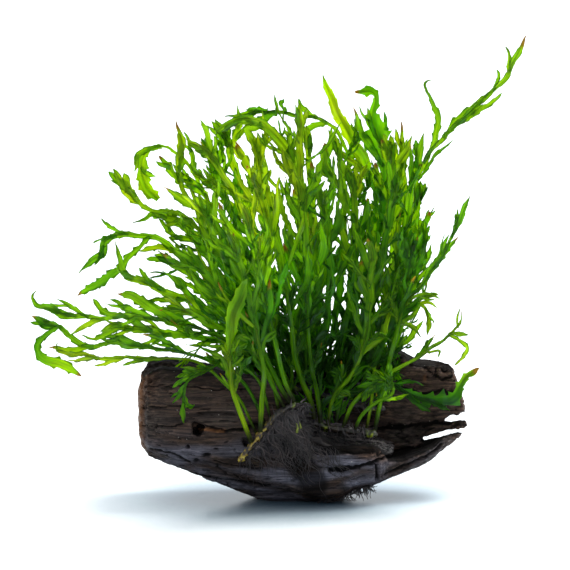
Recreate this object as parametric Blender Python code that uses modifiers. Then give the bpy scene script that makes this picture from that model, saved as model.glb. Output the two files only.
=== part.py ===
"""African water fern on a hollow piece of driftwood.

Metres, +Z up, +X to the right and +Y away from the viewer.
The origin is the middle of the flat on which the log stands.

Leaves and wood are laid out as they are seen: "across" and "up" are millimetres in the
plane that faces the viewer, and "deep" is the distance behind that plane along +Y.
"""
import math
from dataclasses import dataclass, field

import bmesh
import bpy
import numpy as np
from mathutils import Vector

MM = 0.001

# The viewer looks down on the plant by this angle, from this far away.
VIEW_TILT = math.radians(8.0)
VIEW_DISTANCE = 1600.0
VIEW_CENTRE = (-12.5, 106.0)

# Leaf sizes
STALK_WIDTH = 2.5
STALK_THICKNESS = 2.4
BLADE_THICKNESS = 0.6
MIDRIB_WIDTH = 3.4
SLIM_STALK_WIDTH = 2.1
SLIM_MIDRIB_WIDTH = 2.6
WING_START = 0.8
LEAFLET_WIDTH = 3.6
LEAFLET_ANGLE = math.radians(38.0)
LEAFLET_LIFT = 0.6
SHORTEST_STEP = 3.0
LONGEST_STEP = 16.0

# Rhizomes, as (across, up, deep) points, all of the same thickness
RHIZOME_RADIUS = 2.2
FOOT_GAP = 1.2
RHIZOMES = {
    "front": [(-36, 17, -33.5), (-30, 25, -34), (-23, 34, -34), (-16, 42, -33), (-7, 47, -32)],
    "mid": [(-22, 53, -11), (-12, 50, -11), (-3, 44, -12), (4, 37, -12), (15, 34, -13), (34, 31, -13)],
    "rear": [(-32, 57, 0), (-16, 55, 0), (2, 52, 0), (20, 46, 0), (38, 44, 0)],
    "back": [(-32, 60, 11), (-14, 59, 11), (8, 58, 11), (26, 55, 11), (41, 52, 11)],
}

# How far from its rhizome a leaf reaches its own depth
FAN_REACH = {"front": 46.0, "mid": 62.0, "rear": 72.0, "back": 75.0}
FAN_POWER = 1.3


@dataclass
class Frond:
    """One leaf, laid out as seen.

    root: where along its rhizome it starts, across, and row: how far to its front or back.
    depth: how deep its blade is, once it has fanned out.
    line: the points of its midrib, from the first bend to the tip.
    stalk: the share of its length that is bare stalk.
    leaflets: each one's width and its middle line, from the midrib out.
    pairs: the regular leaflets beside them: count, longest, and the stretch that bears them.
    """
    rhizome: str
    root: float
    row: float
    depth: float
    line: list
    stalk: float = 0.3
    leaflets: list = field(default_factory=list)
    pairs: tuple = ()
    tip_width: float = 4.2
    slim: bool = False


FRONDS = {
    # From the rhizome in front of the log
    "frond_front_1": Frond("front", -29, -1.4, -62,
        [(-38, 51), (-39.5, 60), (-40, 78.5), (-37.5, 94), (-31.5, 109)],
        leaflets=[(3, (-39.7, 68), (-35, 74), (-31, 77)), (2.6, (-39, 60), (-34, 64), (-29, 71)),
                  (2.6, (-39.6, 63), (-44, 69), (-50, 72))],
        stalk=0.45, tip_width=6.6),
    "frond_front_2": Frond("front", -25, -2.6, -58,
        [(-24, 48.5), (-23, 62), (-26, 78.5), (-30, 98.5), (-35, 118), (-41, 135)],
        stalk=0.4, pairs=(6, 25, 0.42, 0.92)),
    "frond_front_3": Frond("front", -19.5, 1.2, -46,
        [(-25, 57), (-34, 65), (-44, 67), (-52.5, 62.5), (-61.5, 57.5), (-63.5, 48.5), (-63, 37)],
        leaflets=[(2.2, (-54, 62), (-59, 64), (-63, 64.5)), (2.2, (-59, 59.5), (-64, 58), (-69, 55)),
                  (2.2, (-63.3, 52), (-66, 50.5), (-69, 47)),
                  (2.2, (-63.4, 46), (-60, 44.5), (-57.5, 46))],
        stalk=0.55, tip_width=2.6, slim=True),
    "frond_front_4": Frond("front", -15.5, 1.2, -42,
        [(-19, 58), (-27, 71), (-42, 82), (-58, 91), (-72, 96)], stalk=0.3, pairs=(6, 20, 0.36, 0.9)),
    "frond_front_5": Frond("front", -12.5, -1.4, -50,
        [(-19, 56), (-29, 76), (-42, 98), (-54, 114), (-64, 124)], stalk=0.32, pairs=(6, 25, 0.36, 0.92)),
    "frond_front_6": Frond("front", -9.5, 1.2, -38.5,
        [(-18, 61), (-27.5, 83.5), (-37.5, 108.5), (-47.5, 130), (-55, 150)],
        stalk=0.38, pairs=(7, 27, 0.4, 0.94)),
    "frond_front_7": Frond("front", -7.5, -1.4, -54,
        [(-13, 59), (-18, 80), (-24, 105), (-29, 128), (-33, 146)], stalk=0.4, pairs=(7, 26, 0.42, 0.94)),
    "frond_front_8": Frond("front", -26, 1.4, -36.3,
        [(-35, 48.5), (-42, 56), (-50, 63.5), (-60, 68.5), (-80, 69.5), (-94, 69.5), (-105, 69.5),
         (-113, 71.5), (-118, 70.7), (-126, 73.5), (-126.3, 77)],
        leaflets=[(3, (-82, 69.5), (-88, 67.5), (-93.7, 66.2)),
                  (2.4, (-110, 70.5), (-115, 68.5), (-121, 68.5)),
                  (2.6, (-98, 69.5), (-103, 66.5), (-108, 66))],
        stalk=0.5, tip_width=2.6, slim=True),
    "frond_front_9": Frond("front", -22, 1.4, -34,
        [(-30, 52.5), (-38, 61), (-55, 70), (-75, 74), (-91.5, 76), (-100, 77), (-111.5, 75),
         (-118, 79), (-125, 84.5), (-131.5, 86.5), (-139, 90.3)],
        leaflets=[(3.2, (-113, 75.5), (-121, 73.5), (-131, 75)),
                  (4.2, (-131, 86.5), (-136, 77.5), (-134, 70), (-124, 66), (-114, 60.5)),
                  (3, (-88, 75.5), (-95, 79.5), (-103, 80)), (3, (-66, 73), (-74, 79), (-84, 81)),
                  (3.4, (-40, 62.5), (-47, 71), (-57, 76))],
        stalk=0.42),
    # From the front of the hollow
    "frond_mid_1": Frond("mid", -18, -1.3, -29,
        [(-23, 66), (-36, 76), (-55, 84), (-75, 88.5), (-90, 90.5), (-102.5, 89.5), (-110, 90),
         (-123.5, 91), (-129.5, 94.5), (-136, 95.5), (-138.5, 100), (-137, 103)],
        leaflets=[(3.4, (-60, 85.5), (-74, 93), (-84, 99)), (4.2, (-72, 88), (-88, 99.5), (-96.3, 102)),
                  (3, (-80, 89), (-92, 94.5), (-102.5, 97)),
                  (2.6, (-96, 90), (-103, 92.5), (-108.5, 99)),
                  (2.4, (-115, 90.5), (-120.5, 95.5), (-127, 99.5)),
                  (3, (-108, 90), (-114, 85), (-121, 80.5)),
                  (3, (-91, 90), (-99.5, 82.5), (-107, 79.5), (-114, 81))],
        stalk=0.35, tip_width=3.4),
    "frond_mid_2": Frond("mid", -14, 1.3, -23,
        [(-19, 64), (-30, 79), (-45, 90), (-60, 98), (-72, 102.5), (-80.5, 106.5), (-91.5, 111),
         (-95, 118), (-97.5, 128)],
        leaflets=[(3.4, (-50, 93), (-62, 92), (-72, 90.5)), (3.4, (-58, 97.5), (-67, 108), (-74, 113)),
                  (3.4, (-66, 100), (-76, 98.5), (-86, 98)),
                  (2.6, (-77, 105), (-82, 109), (-85.5, 114.5)),
                  (3.4, (-40, 87), (-50, 98), (-58, 108))],
        stalk=0.3, tip_width=3.6),
    "frond_mid_3": Frond("mid", -9, 1.4, -8.5,
        [(-9, 66), (-7, 85), (-2, 105), (2, 122), (5, 138)], stalk=0.25, pairs=(6, 24, 0.28, 0.92)),
    "frond_mid_4": Frond("mid", 2.5, -3.9, -26,
        [(0, 49), (-4, 58), (-7.5, 70), (-9, 83.5), (-10.5, 95), (-15, 118.5), (-23, 145), (-29, 166)],
        stalk=0.42, pairs=(7, 28, 0.42, 0.94)),
    "frond_mid_5": Frond("mid", 5.5, -3.7, -20.5,
        [(3.5, 52), (0.5, 66), (-1, 85), (-1, 108.5), (-2.5, 135), (-5, 160)],
        stalk=0.42, pairs=(7, 27, 0.42, 0.94)),
    "frond_mid_6": Frond("mid", 9, -1, -17,
        [(10.5, 46), (13.5, 53), (20, 60), (26, 73), (30, 98.5), (31, 128)],
        stalk=0.4, pairs=(6, 24, 0.42, 0.93)),
    "frond_mid_7": Frond("mid", 22, -1.6, -31,
        [(26, 41), (33.5, 47.5), (40.5, 51), (41.5, 55.5), (37, 58.5), (30, 57), (23, 55)],
        leaflets=[(2.4, (37, 58.5), (37.5, 62), (35.5, 65)),
                  (2.4, (32.5, 57.7), (30, 61), (26.5, 62.7)),
                  (2.4, (31, 57.2), (28, 51.5), (25.5, 47.5))],
        stalk=0.6, tip_width=2.8, slim=True),
    "frond_mid_8": Frond("mid", 12.5, 1.4, -10,
        [(16, 50), (22.5, 57.5), (31, 67), (40, 84), (46, 102), (50, 118), (52, 132)],
        stalk=0.3, pairs=(6, 20, 0.34, 0.93)),
    "frond_mid_9": Frond("mid", 16, 0, -22,
        [(22, 47.5), (34, 57.5), (40.5, 62.5), (53.5, 69.5), (60.5, 74.5), (66, 77.5), (71, 82),
         (79.5, 81)],
        leaflets=[(2.6, (57, 72), (60, 77.5), (63, 81)), (1.8, (62, 75.5), (64.5, 73), (63.5, 69.5)),
                  (1.8, (70.5, 81.5), (74.5, 86), (75.5, 93.5)),
                  (2, (74, 81.8), (78.5, 75.5), (77, 70.5), (72, 66))],
        stalk=0.6, tip_width=2.4, slim=True),
    "frond_mid_10": Frond("mid", 32, 1.6, -14,
        [(35.5, 49), (37.5, 58.5), (42.5, 78.5), (48, 96.5), (58, 108), (68, 124), (74, 136.5),
         (80, 150.5)],
        leaflets=[(2.4, (46, 91), (48.3, 101.5), (53, 110.5)),
                  (2, (57, 107.5), (63, 118), (66, 127), (68.5, 133)),
                  (3, (65, 119), (70, 126), (74.5, 130)), (2, (73, 134.5), (73.8, 140), (73.3, 144.5))],
        stalk=0.45, tip_width=3, slim=True),
    "frond_mid_11": Frond("mid", 28, 1.6, -7.5,
        [(31, 50), (33, 70), (37, 84), (43, 91), (50, 96), (57, 95.5), (59, 88), (59, 81)],
        leaflets=[(3, (34.5, 77), (30, 86), (27, 96)), (3, (42, 90), (50, 86), (56.5, 79)),
                  (2.4, (53, 96.3), (59, 97), (64, 94.5)), (2.2, (58.7, 90), (61.5, 88.5), (62, 86))],
        stalk=0.4, tip_width=2.6, slim=True),
    "frond_mid_12": Frond("mid", -21.5, 1.4, -17,
        [(-27, 67), (-42, 77), (-60, 80.5), (-80, 83), (-96, 85), (-105, 83)],
        stalk=0.3, pairs=(6, 18, 0.34, 0.92)),
    # From the middle of the hollow
    "frond_rear_1": Frond("rear", -27, -1.2, 17,
        [(-34, 74), (-45, 91), (-55, 105), (-62, 116), (-70, 125.5), (-79, 130), (-88, 131),
         (-98, 130.5), (-103, 127.5), (-103.3, 122), (-109, 118.5), (-115.5, 112)],
        leaflets=[(3.6, (-40, 83), (-50, 89), (-60, 97)), (3.6, (-52, 101), (-49, 113), (-47, 126)),
                  (3, (-70, 127), (-77, 125), (-86, 123)),
                  (3.8, (-85, 132.3), (-91.5, 119), (-98.5, 111.5), (-107.5, 106), (-116.5, 100.5)),
                  (1.8, (-96, 132), (-101, 135.5), (-104.5, 139.5))],
        stalk=0.2, tip_width=4),
    "frond_rear_2": Frond("rear", -22.5, 1.2, 13.3,
        [(-30, 80), (-42, 106), (-54, 124), (-62.5, 134), (-69.5, 139), (-78, 141.5), (-83.5, 139),
         (-88.5, 137)], stalk=0.2, pairs=(6, 22, 0.24, 0.76), tip_width=3.2),
    "frond_rear_3": Frond("rear", -17.5, 1.2, 9,
        [(-27, 84), (-41, 112), (-53, 131), (-62, 139.5), (-72, 143), (-79, 143.5), (-86, 147.5),
         (-93, 156), (-98.5, 164)],
        leaflets=[(2.4, (-88, 151), (-92, 151.5), (-95, 153.5))],
        stalk=0.28, pairs=(6, 23, 0.32, 0.72), tip_width=4.4),
    "frond_rear_4": Frond("rear", -6, 1.4, 15.5,
        [(-4, 80), (0, 120), (-3, 150), (-8, 166), (-14, 177), (-24, 186), (-35, 188.5), (-44, 184.5),
         (-47, 181)],
        leaflets=[(3, (-29, 188), (-31.5, 183.5), (-28, 178.5))],
        stalk=0.2, pairs=(7, 24, 0.22, 0.76), tip_width=4.2),
    "frond_rear_5": Frond("rear", -1.5, -1.4, 7,
        [(-3, 90), (-4, 130), (-5, 165), (-5, 185), (-5, 197)], stalk=0.2, pairs=(8, 29, 0.22, 0.94)),
    "frond_rear_6": Frond("rear", 3, 1.2, 1.5,
        [(6, 70), (9, 95), (10, 120), (7, 142), (4, 157)], stalk=0.2, pairs=(6, 24, 0.22, 0.93)),
    "frond_rear_7": Frond("rear", 7.5, 1.4, 12.5,
        [(14, 72), (20, 98), (23, 124), (22, 148), (19, 167)], stalk=0.2, pairs=(7, 24, 0.24, 0.94)),
    "frond_rear_8": Frond("rear", 12, 0, -1,
        [(20, 70), (29, 95), (36, 120), (41, 145), (44, 162)], stalk=0.25, pairs=(7, 22, 0.3, 0.94)),
    "frond_rear_9": Frond("rear", 16.5, 1.2, 10.5,
        [(24, 66), (32, 84), (40, 100), (46, 118), (49, 137)], stalk=0.2, pairs=(6, 20, 0.22, 0.93)),
    "frond_rear_10": Frond("rear", 21, -1.2, 4.5,
        [(30, 66), (38, 90), (46, 125), (51, 155), (55, 172), (57, 182)],
        leaflets=[(3, (51.3, 157), (51, 168), (49.5, 177.5))],
        stalk=0.25, pairs=(6, 22, 0.28, 0.78)),
    "frond_rear_11": Frond("rear", 27, -1.5, -4,
        [(34, 51), (41, 56.5), (47, 53), (52, 50.5), (60, 48.5), (70, 48.5), (75, 55), (79, 61),
         (84.5, 64.5)],
        leaflets=[(2.6, (44, 55.2), (51, 57.5), (57, 56)), (3, (50, 51.3), (55, 46), (60, 42.5)),
                  (3, (62, 48.3), (66, 45.5), (70, 43.5))],
        stalk=0.4, tip_width=3.8, slim=True),
    "frond_rear_12": Frond("rear", 34, 1.5, 7.3,
        [(39, 66), (46, 88), (52, 108), (56, 124), (57, 139)], stalk=0.25, pairs=(6, 17, 0.28, 0.93)),
    "frond_rear_13": Frond("rear", -12.5, -1.2, 3.7,
        [(-20, 80), (-30, 104), (-42, 126), (-52, 146)], stalk=0.2, pairs=(7, 25, 0.22, 0.93)),
    "frond_rear_14": Frond("rear", -9, -1, 19,
        [(-16, 90), (-26, 124), (-38, 152), (-50, 170), (-62, 179)],
        stalk=0.2, pairs=(7, 24, 0.24, 0.93)),
    # From the back of the hollow
    "frond_back_1": Frond("back", -24.5, 0, 31,
        [(-34, 96), (-45, 122), (-54, 142), (-62, 151), (-65.5, 159), (-65.5, 168), (-64, 178),
         (-67, 188)],
        leaflets=[(3.4, (-65.7, 162), (-71, 166), (-76, 170.5)),
                  (3.6, (-59, 148), (-66.5, 150.5), (-73, 155))],
        stalk=0.15, pairs=(5, 22, 0.2, 0.62), tip_width=3.4),
    "frond_back_2": Frond("back", -20, 0, 36,
        [(-32, 100), (-46, 135), (-55, 157), (-63, 168), (-70, 174.5), (-77, 175), (-83, 171),
         (-84.5, 163), (-81, 154), (-76, 148.5)],
        leaflets=[(2.8, (-79, 174), (-85.5, 171.5), (-88.5, 165.5)),
                  (2, (-84.3, 160), (-80.5, 161.5), (-77, 160))],
        stalk=0.2, pairs=(6, 24, 0.24, 0.66), tip_width=4.6),
    "frond_back_3": Frond("back", -15.5, 1.4, 24,
        [(-26, 105), (-38, 138), (-47, 162), (-52, 180)], stalk=0.15, pairs=(7, 26, 0.2, 0.94)),
    "frond_back_4": Frond("back", -11, 0, 41,
        [(-18, 100), (-28, 135), (-37, 162), (-42, 180), (-47.5, 189)],
        stalk=0.25, pairs=(7, 25, 0.28, 0.94)),
    "frond_back_5": Frond("back", -6.5, -1.4, 20.5,
        [(-10, 100), (-18, 138), (-25, 165), (-30, 184)], stalk=0.15, pairs=(7, 29, 0.2, 0.94)),
    "frond_back_6": Frond("back", -2, 1.4, 44,
        [(6, 105), (14, 145), (19, 168), (15, 180), (7.5, 188), (-5, 190.5), (-20, 192.8), (-30, 191.8),
         (-42.5, 190.2)],
        leaflets=[(1.8, (-16, 193.5), (-15, 196.5), (-13, 199)), (2, (-2, 191), (-4.5, 195), (-6, 199)),
                  (2.6, (4, 189.5), (-3, 183), (-8, 175)), (2.6, (-22, 194), (-27, 187), (-30, 181))],
        stalk=0.25, pairs=(5, 24, 0.28, 0.64), tip_width=2.6),
    "frond_back_7": Frond("back", 2.5, -1.4, 33.5,
        [(4, 100), (2, 140), (0, 165), (-2, 186)], stalk=0.15, pairs=(8, 30, 0.2, 0.94)),
    "frond_back_8": Frond("back", 7, 0, 27,
        [(14, 98), (17, 135), (16, 160), (12, 183)], stalk=0.15, pairs=(7, 30, 0.2, 0.94)),
    "frond_back_9": Frond("back", 12, 0, 38.5,
        [(24, 100), (32, 130), (33, 152), (27, 169), (22, 177), (13, 193.5), (6.5, 211)],
        stalk=0.25, pairs=(6, 24, 0.28, 0.72), tip_width=4.8),
    "frond_back_10": Frond("back", 17, 0, 29.5,
        [(28, 100), (35, 135), (37, 160), (35.5, 174), (33, 184), (31.5, 192), (33, 199), (30.5, 203),
         (22.5, 202.8)],
        leaflets=[(4, (35.7, 170), (26, 182), (21.5, 196)), (3.4, (34, 179), (37.5, 185), (37, 192.5)),
                  (2.8, (33.6, 181), (30, 188), (28.5, 195))],
        stalk=0.15, pairs=(6, 23, 0.2, 0.66), tip_width=5.6),
    "frond_back_11": Frond("back", 22, 0, 22.5,
        [(31, 95), (37, 125), (40, 148), (41, 166), (40, 181)], stalk=0.15, pairs=(7, 23, 0.2, 0.93)),
    "frond_back_12": Frond("back", 27, 1.5, 42,
        [(38, 100), (44, 140), (46.5, 168), (45.5, 187.5)],
        leaflets=[(3.6, (46, 163), (42.5, 172), (41, 181))],
        stalk=0.25, pairs=(6, 22, 0.28, 0.8), tip_width=2.6),
    "frond_back_13": Frond("back", 32, -1.5, 35,
        [(40, 100), (46.5, 135), (53, 158), (60, 172), (69, 182), (85, 197.5), (96.5, 208), (102, 218),
         (108, 230.5)],
        leaflets=[(3.4, (54, 160), (63, 171), (74, 180.5)),
                  (3.2, (60, 172), (64.5, 180), (66, 188.5), (60, 199), (58, 207)),
                  (4, (70, 183), (78, 192), (91, 203)), (1.8, (77, 190), (88, 195), (96, 202.5)),
                  (1.8, (95, 206.5), (94.3, 211), (93.5, 214)),
                  (1.8, (101.5, 217), (99.5, 221), (97.5, 225))],
        stalk=0.2, pairs=(4, 20, 0.24, 0.52), tip_width=3, slim=True),
    "frond_back_14": Frond("back", 37, 0, 26,
        [(43.5, 90), (49.5, 118), (53, 140), (55, 158)], stalk=0.2, pairs=(6, 15, 0.24, 0.93)),
    "frond_back_15": Frond("back", -29.5, 0, 20.5,
        [(-38, 84), (-52, 104), (-66, 116), (-78, 121)], stalk=0.15, pairs=(6, 20, 0.2, 0.93)),
}


def seen_at(across, up, deep):
    """The point at a given depth that shows at (across, up) in the viewer's picture, in mm."""
    right = np.array((1.0, 0.0, 0.0))
    raised = np.array((0.0, math.sin(VIEW_TILT), math.cos(VIEW_TILT)))
    ahead = np.array((0.0, math.cos(VIEW_TILT), -math.sin(VIEW_TILT)))
    eye = VIEW_CENTRE[0] * right + VIEW_CENTRE[1] * raised - VIEW_DISTANCE * ahead
    spot = across * right + up * raised
    share = (deep - eye[1]) / (spot[1] - eye[1])
    return eye + share * (spot - eye)


class Line:
    """A smooth line through points, read by its share of the length."""

    def __init__(self, points, fineness=12):
        knots = np.asarray(points, float)
        ends = np.vstack((2 * knots[0] - knots[1], knots, 2 * knots[-1] - knots[-2]))
        steps = np.linspace(0, 1, fineness, endpoint=False)[:, None]
        runs = []
        for before, start, stop, after in zip(ends, ends[1:], ends[2:], ends[3:]):
            runs.append(0.5 * (2 * start + (stop - before) * steps
                               + (2 * before - 5 * start + 4 * stop - after) * steps ** 2
                               + (3 * start - before - 3 * stop + after) * steps ** 3))
        self.points = np.vstack(runs + [knots[-1:]])
        lengths = np.linalg.norm(np.diff(self.points, axis=0), axis=1)
        self.marks = np.concatenate(((0.0,), np.cumsum(lengths)))
        self.length = self.marks[-1]

    def at(self, share):
        mark = np.clip(share, 0, 1) * self.length
        return np.array([np.interp(mark, self.marks, axis) for axis in self.points.T])

    def heading(self, share):
        step = 1.5 / self.length
        ahead = self.at(share + step) - self.at(share - step)
        return ahead / np.linalg.norm(ahead)

    def nearest(self, point):
        """The share at which the line passes closest to a point, and how far off it is there."""
        gaps = np.linalg.norm(self.points[:, :len(point)] - point, axis=1)
        return self.marks[gaps.argmin()] / self.length, gaps.min()


RHIZOME_LINES = {name: Line(points) for name, points in RHIZOMES.items()}


def turned(direction, angle):
    """A flat direction turned anticlockwise."""
    cos, sin = math.cos(angle), math.sin(angle)
    return np.array((cos * direction[0] - sin * direction[1], sin * direction[0] + cos * direction[1]))


def leaf_depth(frond, across, up):
    """How deep a leaf is at a place in the picture.

    The leaves of a plant fan out from their rhizome like a hand of cards, so leaves that cross in
    the picture never touch. One slow wave, the same for all, tilts them all this way and that.
    """
    share, distance = RHIZOME_LINES[frond.rhizome].nearest((across, up))
    start = RHIZOME_LINES[frond.rhizome].at(share)[2] + frond.row
    fan = min(1.0, max(0.0, distance - RHIZOME_RADIUS) / FAN_REACH[frond.rhizome]) ** FAN_POWER
    spread = 1 + 0.25 * min(1.0, max(0.0, (up - 90) / 100))
    wave = 4.2 * math.sin(across / 15 + up / 26) + 2.4 * math.sin(up / 13 - across / 30 + 1)
    return (start + (frond.depth - start) * fan) * spread + wave * fan


def leaf_point(frond, spot, lift=0.0):
    return Vector(seen_at(*spot, leaf_depth(frond, *spot) + lift)) * MM


def leaf_line(frond):
    """The midrib, from the side of the rhizome to the tip."""
    bottom = RHIZOME_LINES[frond.rhizome]
    share = np.interp(frond.root, bottom.points[:, 0], bottom.marks / bottom.length)
    root = bottom.at(share)[:2]
    leave = np.subtract(frond.line[0], root)
    foot = root + leave / np.linalg.norm(leave) * (RHIZOME_RADIUS + FOOT_GAP)
    return Line([tuple(foot)] + frond.line)


def regular_leaflets(frond, line):
    """Strap-shaped leaflets on alternate sides, longest low on the blade, curving forward."""
    count, longest, start, end = frond.pairs
    leaflets = []
    for number in range(count):
        share = start + (number + 0.5) * (end - start) / count
        side = 1 if number % 2 else -1
        length = longest * (1 - 0.38 * (number / count) ** 1.5)
        heading = line.heading(share)
        foot = line.at(share)
        middle = foot + turned(heading, side * LEAFLET_ANGLE) * length * 0.5
        tip = middle + turned(heading, side * LEAFLET_ANGLE * 0.55) * length * 0.5
        leaflets.append((LEAFLET_WIDTH, tuple(foot), tuple(middle), tuple(tip)))
    return leaflets


def leaflet_feet(frond, line):
    """Each leaflet with its side and the stretch of midrib that it grows from, in order."""
    feet = []
    plain = regular_leaflets(frond, line) if frond.pairs else []
    for leaflet in frond.leaflets + plain:
        width, foot, *rest = leaflet
        share, _ = line.nearest(foot)
        heading = line.heading(share)
        outward = np.subtract(rest[0], line.at(share))
        side = 1 if heading[0] * outward[1] - heading[1] * outward[0] > 0 else -1
        reach = (1.8 if leaflet in plain else 0.9) * width / line.length
        feet.append((share, side, reach, width, rest, leaflet in plain))
    feet.sort(key=lambda entry: entry[0])
    near = SHORTEST_STEP / line.length
    stretches = []
    for number, (share, side, reach, width, rest, plain_one) in enumerate(feet):
        before = [entry[0] for entry in feet[:number] if share - entry[0] > near]
        after = [entry[0] for entry in feet[number + 1:] if entry[0] - share > near]
        low = max([share - reach] + [(before[-1] + share) / 2] if before else [share - reach])
        high = min([share + reach] + [(after[0] + share) / 2] if after else [share + reach])
        stretches.append((low, high, side, width, rest, plain_one))
    return stretches


def stations(frond, line, stretches):
    """The shares of the midrib at which the leaf's outline has a pair of points."""
    shares = [0.5 * frond.stalk, frond.stalk]
    for low, high, *_ in stretches:
        shares += [low, high]
    shares.append(0.5 + 0.5 * max(shares))
    kept = [0.0]
    for share in sorted(shares):
        if (share - kept[-1]) * line.length > SHORTEST_STEP:
            kept.append(share)
    longest = LONGEST_STEP / line.length
    filled = []
    for low, high in zip(kept, kept[1:] + [1.0]):
        count = max(1, math.ceil((high - low) / longest - 0.4))
        filled += [low + (high - low) * part / count for part in range(count)]
    return filled


def midrib_width(frond, share, last_foot):
    """A thin stalk, a winged midrib, and a broader end."""
    wing = SLIM_MIDRIB_WIDTH if frond.slim else MIDRIB_WIDTH
    if share <= frond.stalk * WING_START:
        return SLIM_STALK_WIDTH if frond.slim else STALK_WIDTH
    if share <= last_foot:
        return wing
    return wing + (frond.tip_width - wing) * min(1.0, (share - last_foot) / (1 - last_foot) * 2.2)


def beside(line, point, side, clearance):
    """A point moved sideways, if it must be, to lie clear of the midrib on its own side."""
    share, distance = line.nearest(point)
    if distance >= clearance:
        return point
    return tuple(line.at(share) + side * clearance * turned(line.heading(share), math.pi / 2))


def leaf_sheet(frond):
    """The leaf's outline bent through space, and how thick it is at each point."""
    line = leaf_line(frond)
    stretches = leaflet_feet(frond, line)
    shares = stations(frond, line, stretches)
    last_foot = max([high for _, high, *_ in stretches], default=frond.stalk)
    blade = BLADE_THICKNESS / STALK_THICKNESS
    sheet = bmesh.new()
    thicknesses = []

    def add(spot, thickness=blade, lift=0.0):
        thicknesses.append(thickness)
        return sheet.verts.new(leaf_point(frond, spot, lift))

    edges = {1: [], -1: []}
    for share in shares:
        out = turned(line.heading(share), math.pi / 2) * midrib_width(frond, share, last_foot) / 2
        thickness = 1.0 if share <= frond.stalk * WING_START else blade
        for side in edges:
            edges[side].append(add(line.at(share) + side * out, thickness))
    tip = add(line.at(1.0))
    for right, left in zip(zip(edges[-1], edges[-1][1:]), zip(edges[1], edges[1][1:])):
        sheet.faces.new((right[0], right[1], left[1], left[0]))
    sheet.faces.new((edges[-1][-1], tip, edges[1][-1]))

    taken = set()
    for low, high, side, width, rest, plain in stretches:
        middle = (low + high) / 2
        number = max(index for index, share in enumerate(shares[:-1]) if share <= middle)
        while (side, number) in taken:
            number -= 1
        taken.add((side, number))
        near, far = edges[side][number], edges[side][number + 1]
        end = add(rest[-1], lift=side * LEAFLET_LIFT)
        if plain:
            outer = 0.35 * line.at(shares[number]) + 0.65 * np.array(rest[0])
            belly = outer + side * turned(line.heading(middle), math.pi / 2) * 0.1 * width
            sheet.faces.new((near, add(belly - line.heading(middle) * 0.55 * width), end, far))
            continue
        previous = line.at(middle)
        for order, point in enumerate(rest[:-1]):
            point = beside(line, point, side, (width + MIDRIB_WIDTH) / 2 + 0.4)
            ahead = np.subtract(rest[order + 1], previous)
            out = turned(ahead / np.linalg.norm(ahead), math.pi / 2) * side * width / 2
            lift = side * LEAFLET_LIFT * (order + 1) / len(rest)
            back, front = add(point + out, lift=lift), add(point - out, lift=lift)
            sheet.faces.new((near, back, front, far))
            near, far, previous = back, front, point
        sheet.faces.new((near, end, far))
    return sheet, thicknesses


def make_frond(name, frond, material):
    sheet, thicknesses = leaf_sheet(frond)
    leaf = add_object(name, to_mesh(name, sheet), material)
    group = leaf.vertex_groups.new(name="thickness")
    for index, thickness in enumerate(thicknesses):
        group.add([index], thickness, "REPLACE")
    solid = leaf.modifiers.new("Thickness", "SOLIDIFY")
    solid.thickness = STALK_THICKNESS * MM
    solid.offset = 0
    solid.vertex_group = group.name
    solid.use_even_offset = False
    return leaf


def to_mesh(name, built):
    bmesh.ops.recalc_face_normals(built, faces=built.faces)
    mesh = bpy.data.meshes.new(name)
    built.to_mesh(mesh)
    built.free()
    return mesh


def loft(name, rings, material):
    """A closed solid through rings that all have the same number of points, ends capped."""
    solid = bmesh.new()
    loops = [[solid.verts.new(Vector(point) * MM) for point in ring] for ring in rings]
    for ring, following in zip(loops, loops[1:]):
        count = len(ring)
        for number in range(count):
            after = (number + 1) % count
            solid.faces.new((ring[number], ring[after], following[after], following[number]))
    solid.faces.new(loops[0][::-1])
    solid.faces.new(loops[-1])
    return add_object(name, to_mesh(name, solid), material)


def add_object(name, mesh, material):
    piece = bpy.data.objects.new(name, mesh)
    mesh.materials.append(material)
    bpy.data.collections["African water fern"].objects.link(piece)
    return piece


def make_rhizome(name, points, material):
    """A knobbly creeping stem, its swellings where the old leaf stalks were."""
    line = Line([tuple(seen_at(*point)) for point in points])
    count = max(8, round(line.length / 6.5))
    rings = []
    for number in range(count + 1):
        share = number / count
        heading = Vector(line.heading(share))
        side = heading.cross(Vector((0, 0, 1))).normalized()
        over = side.cross(heading)
        radius = RHIZOME_RADIUS * (1 + 0.14 * math.cos(2.4 * number)) * (0.6 if number in (0, count) else 1)
        centre = Vector(line.at(share))
        rings.append([centre + radius * (math.cos(turn) * side + math.sin(turn) * over)
                      for turn in np.linspace(0, 2 * math.pi, 6, endpoint=False)])
    return loft(name, rings, material)


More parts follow.
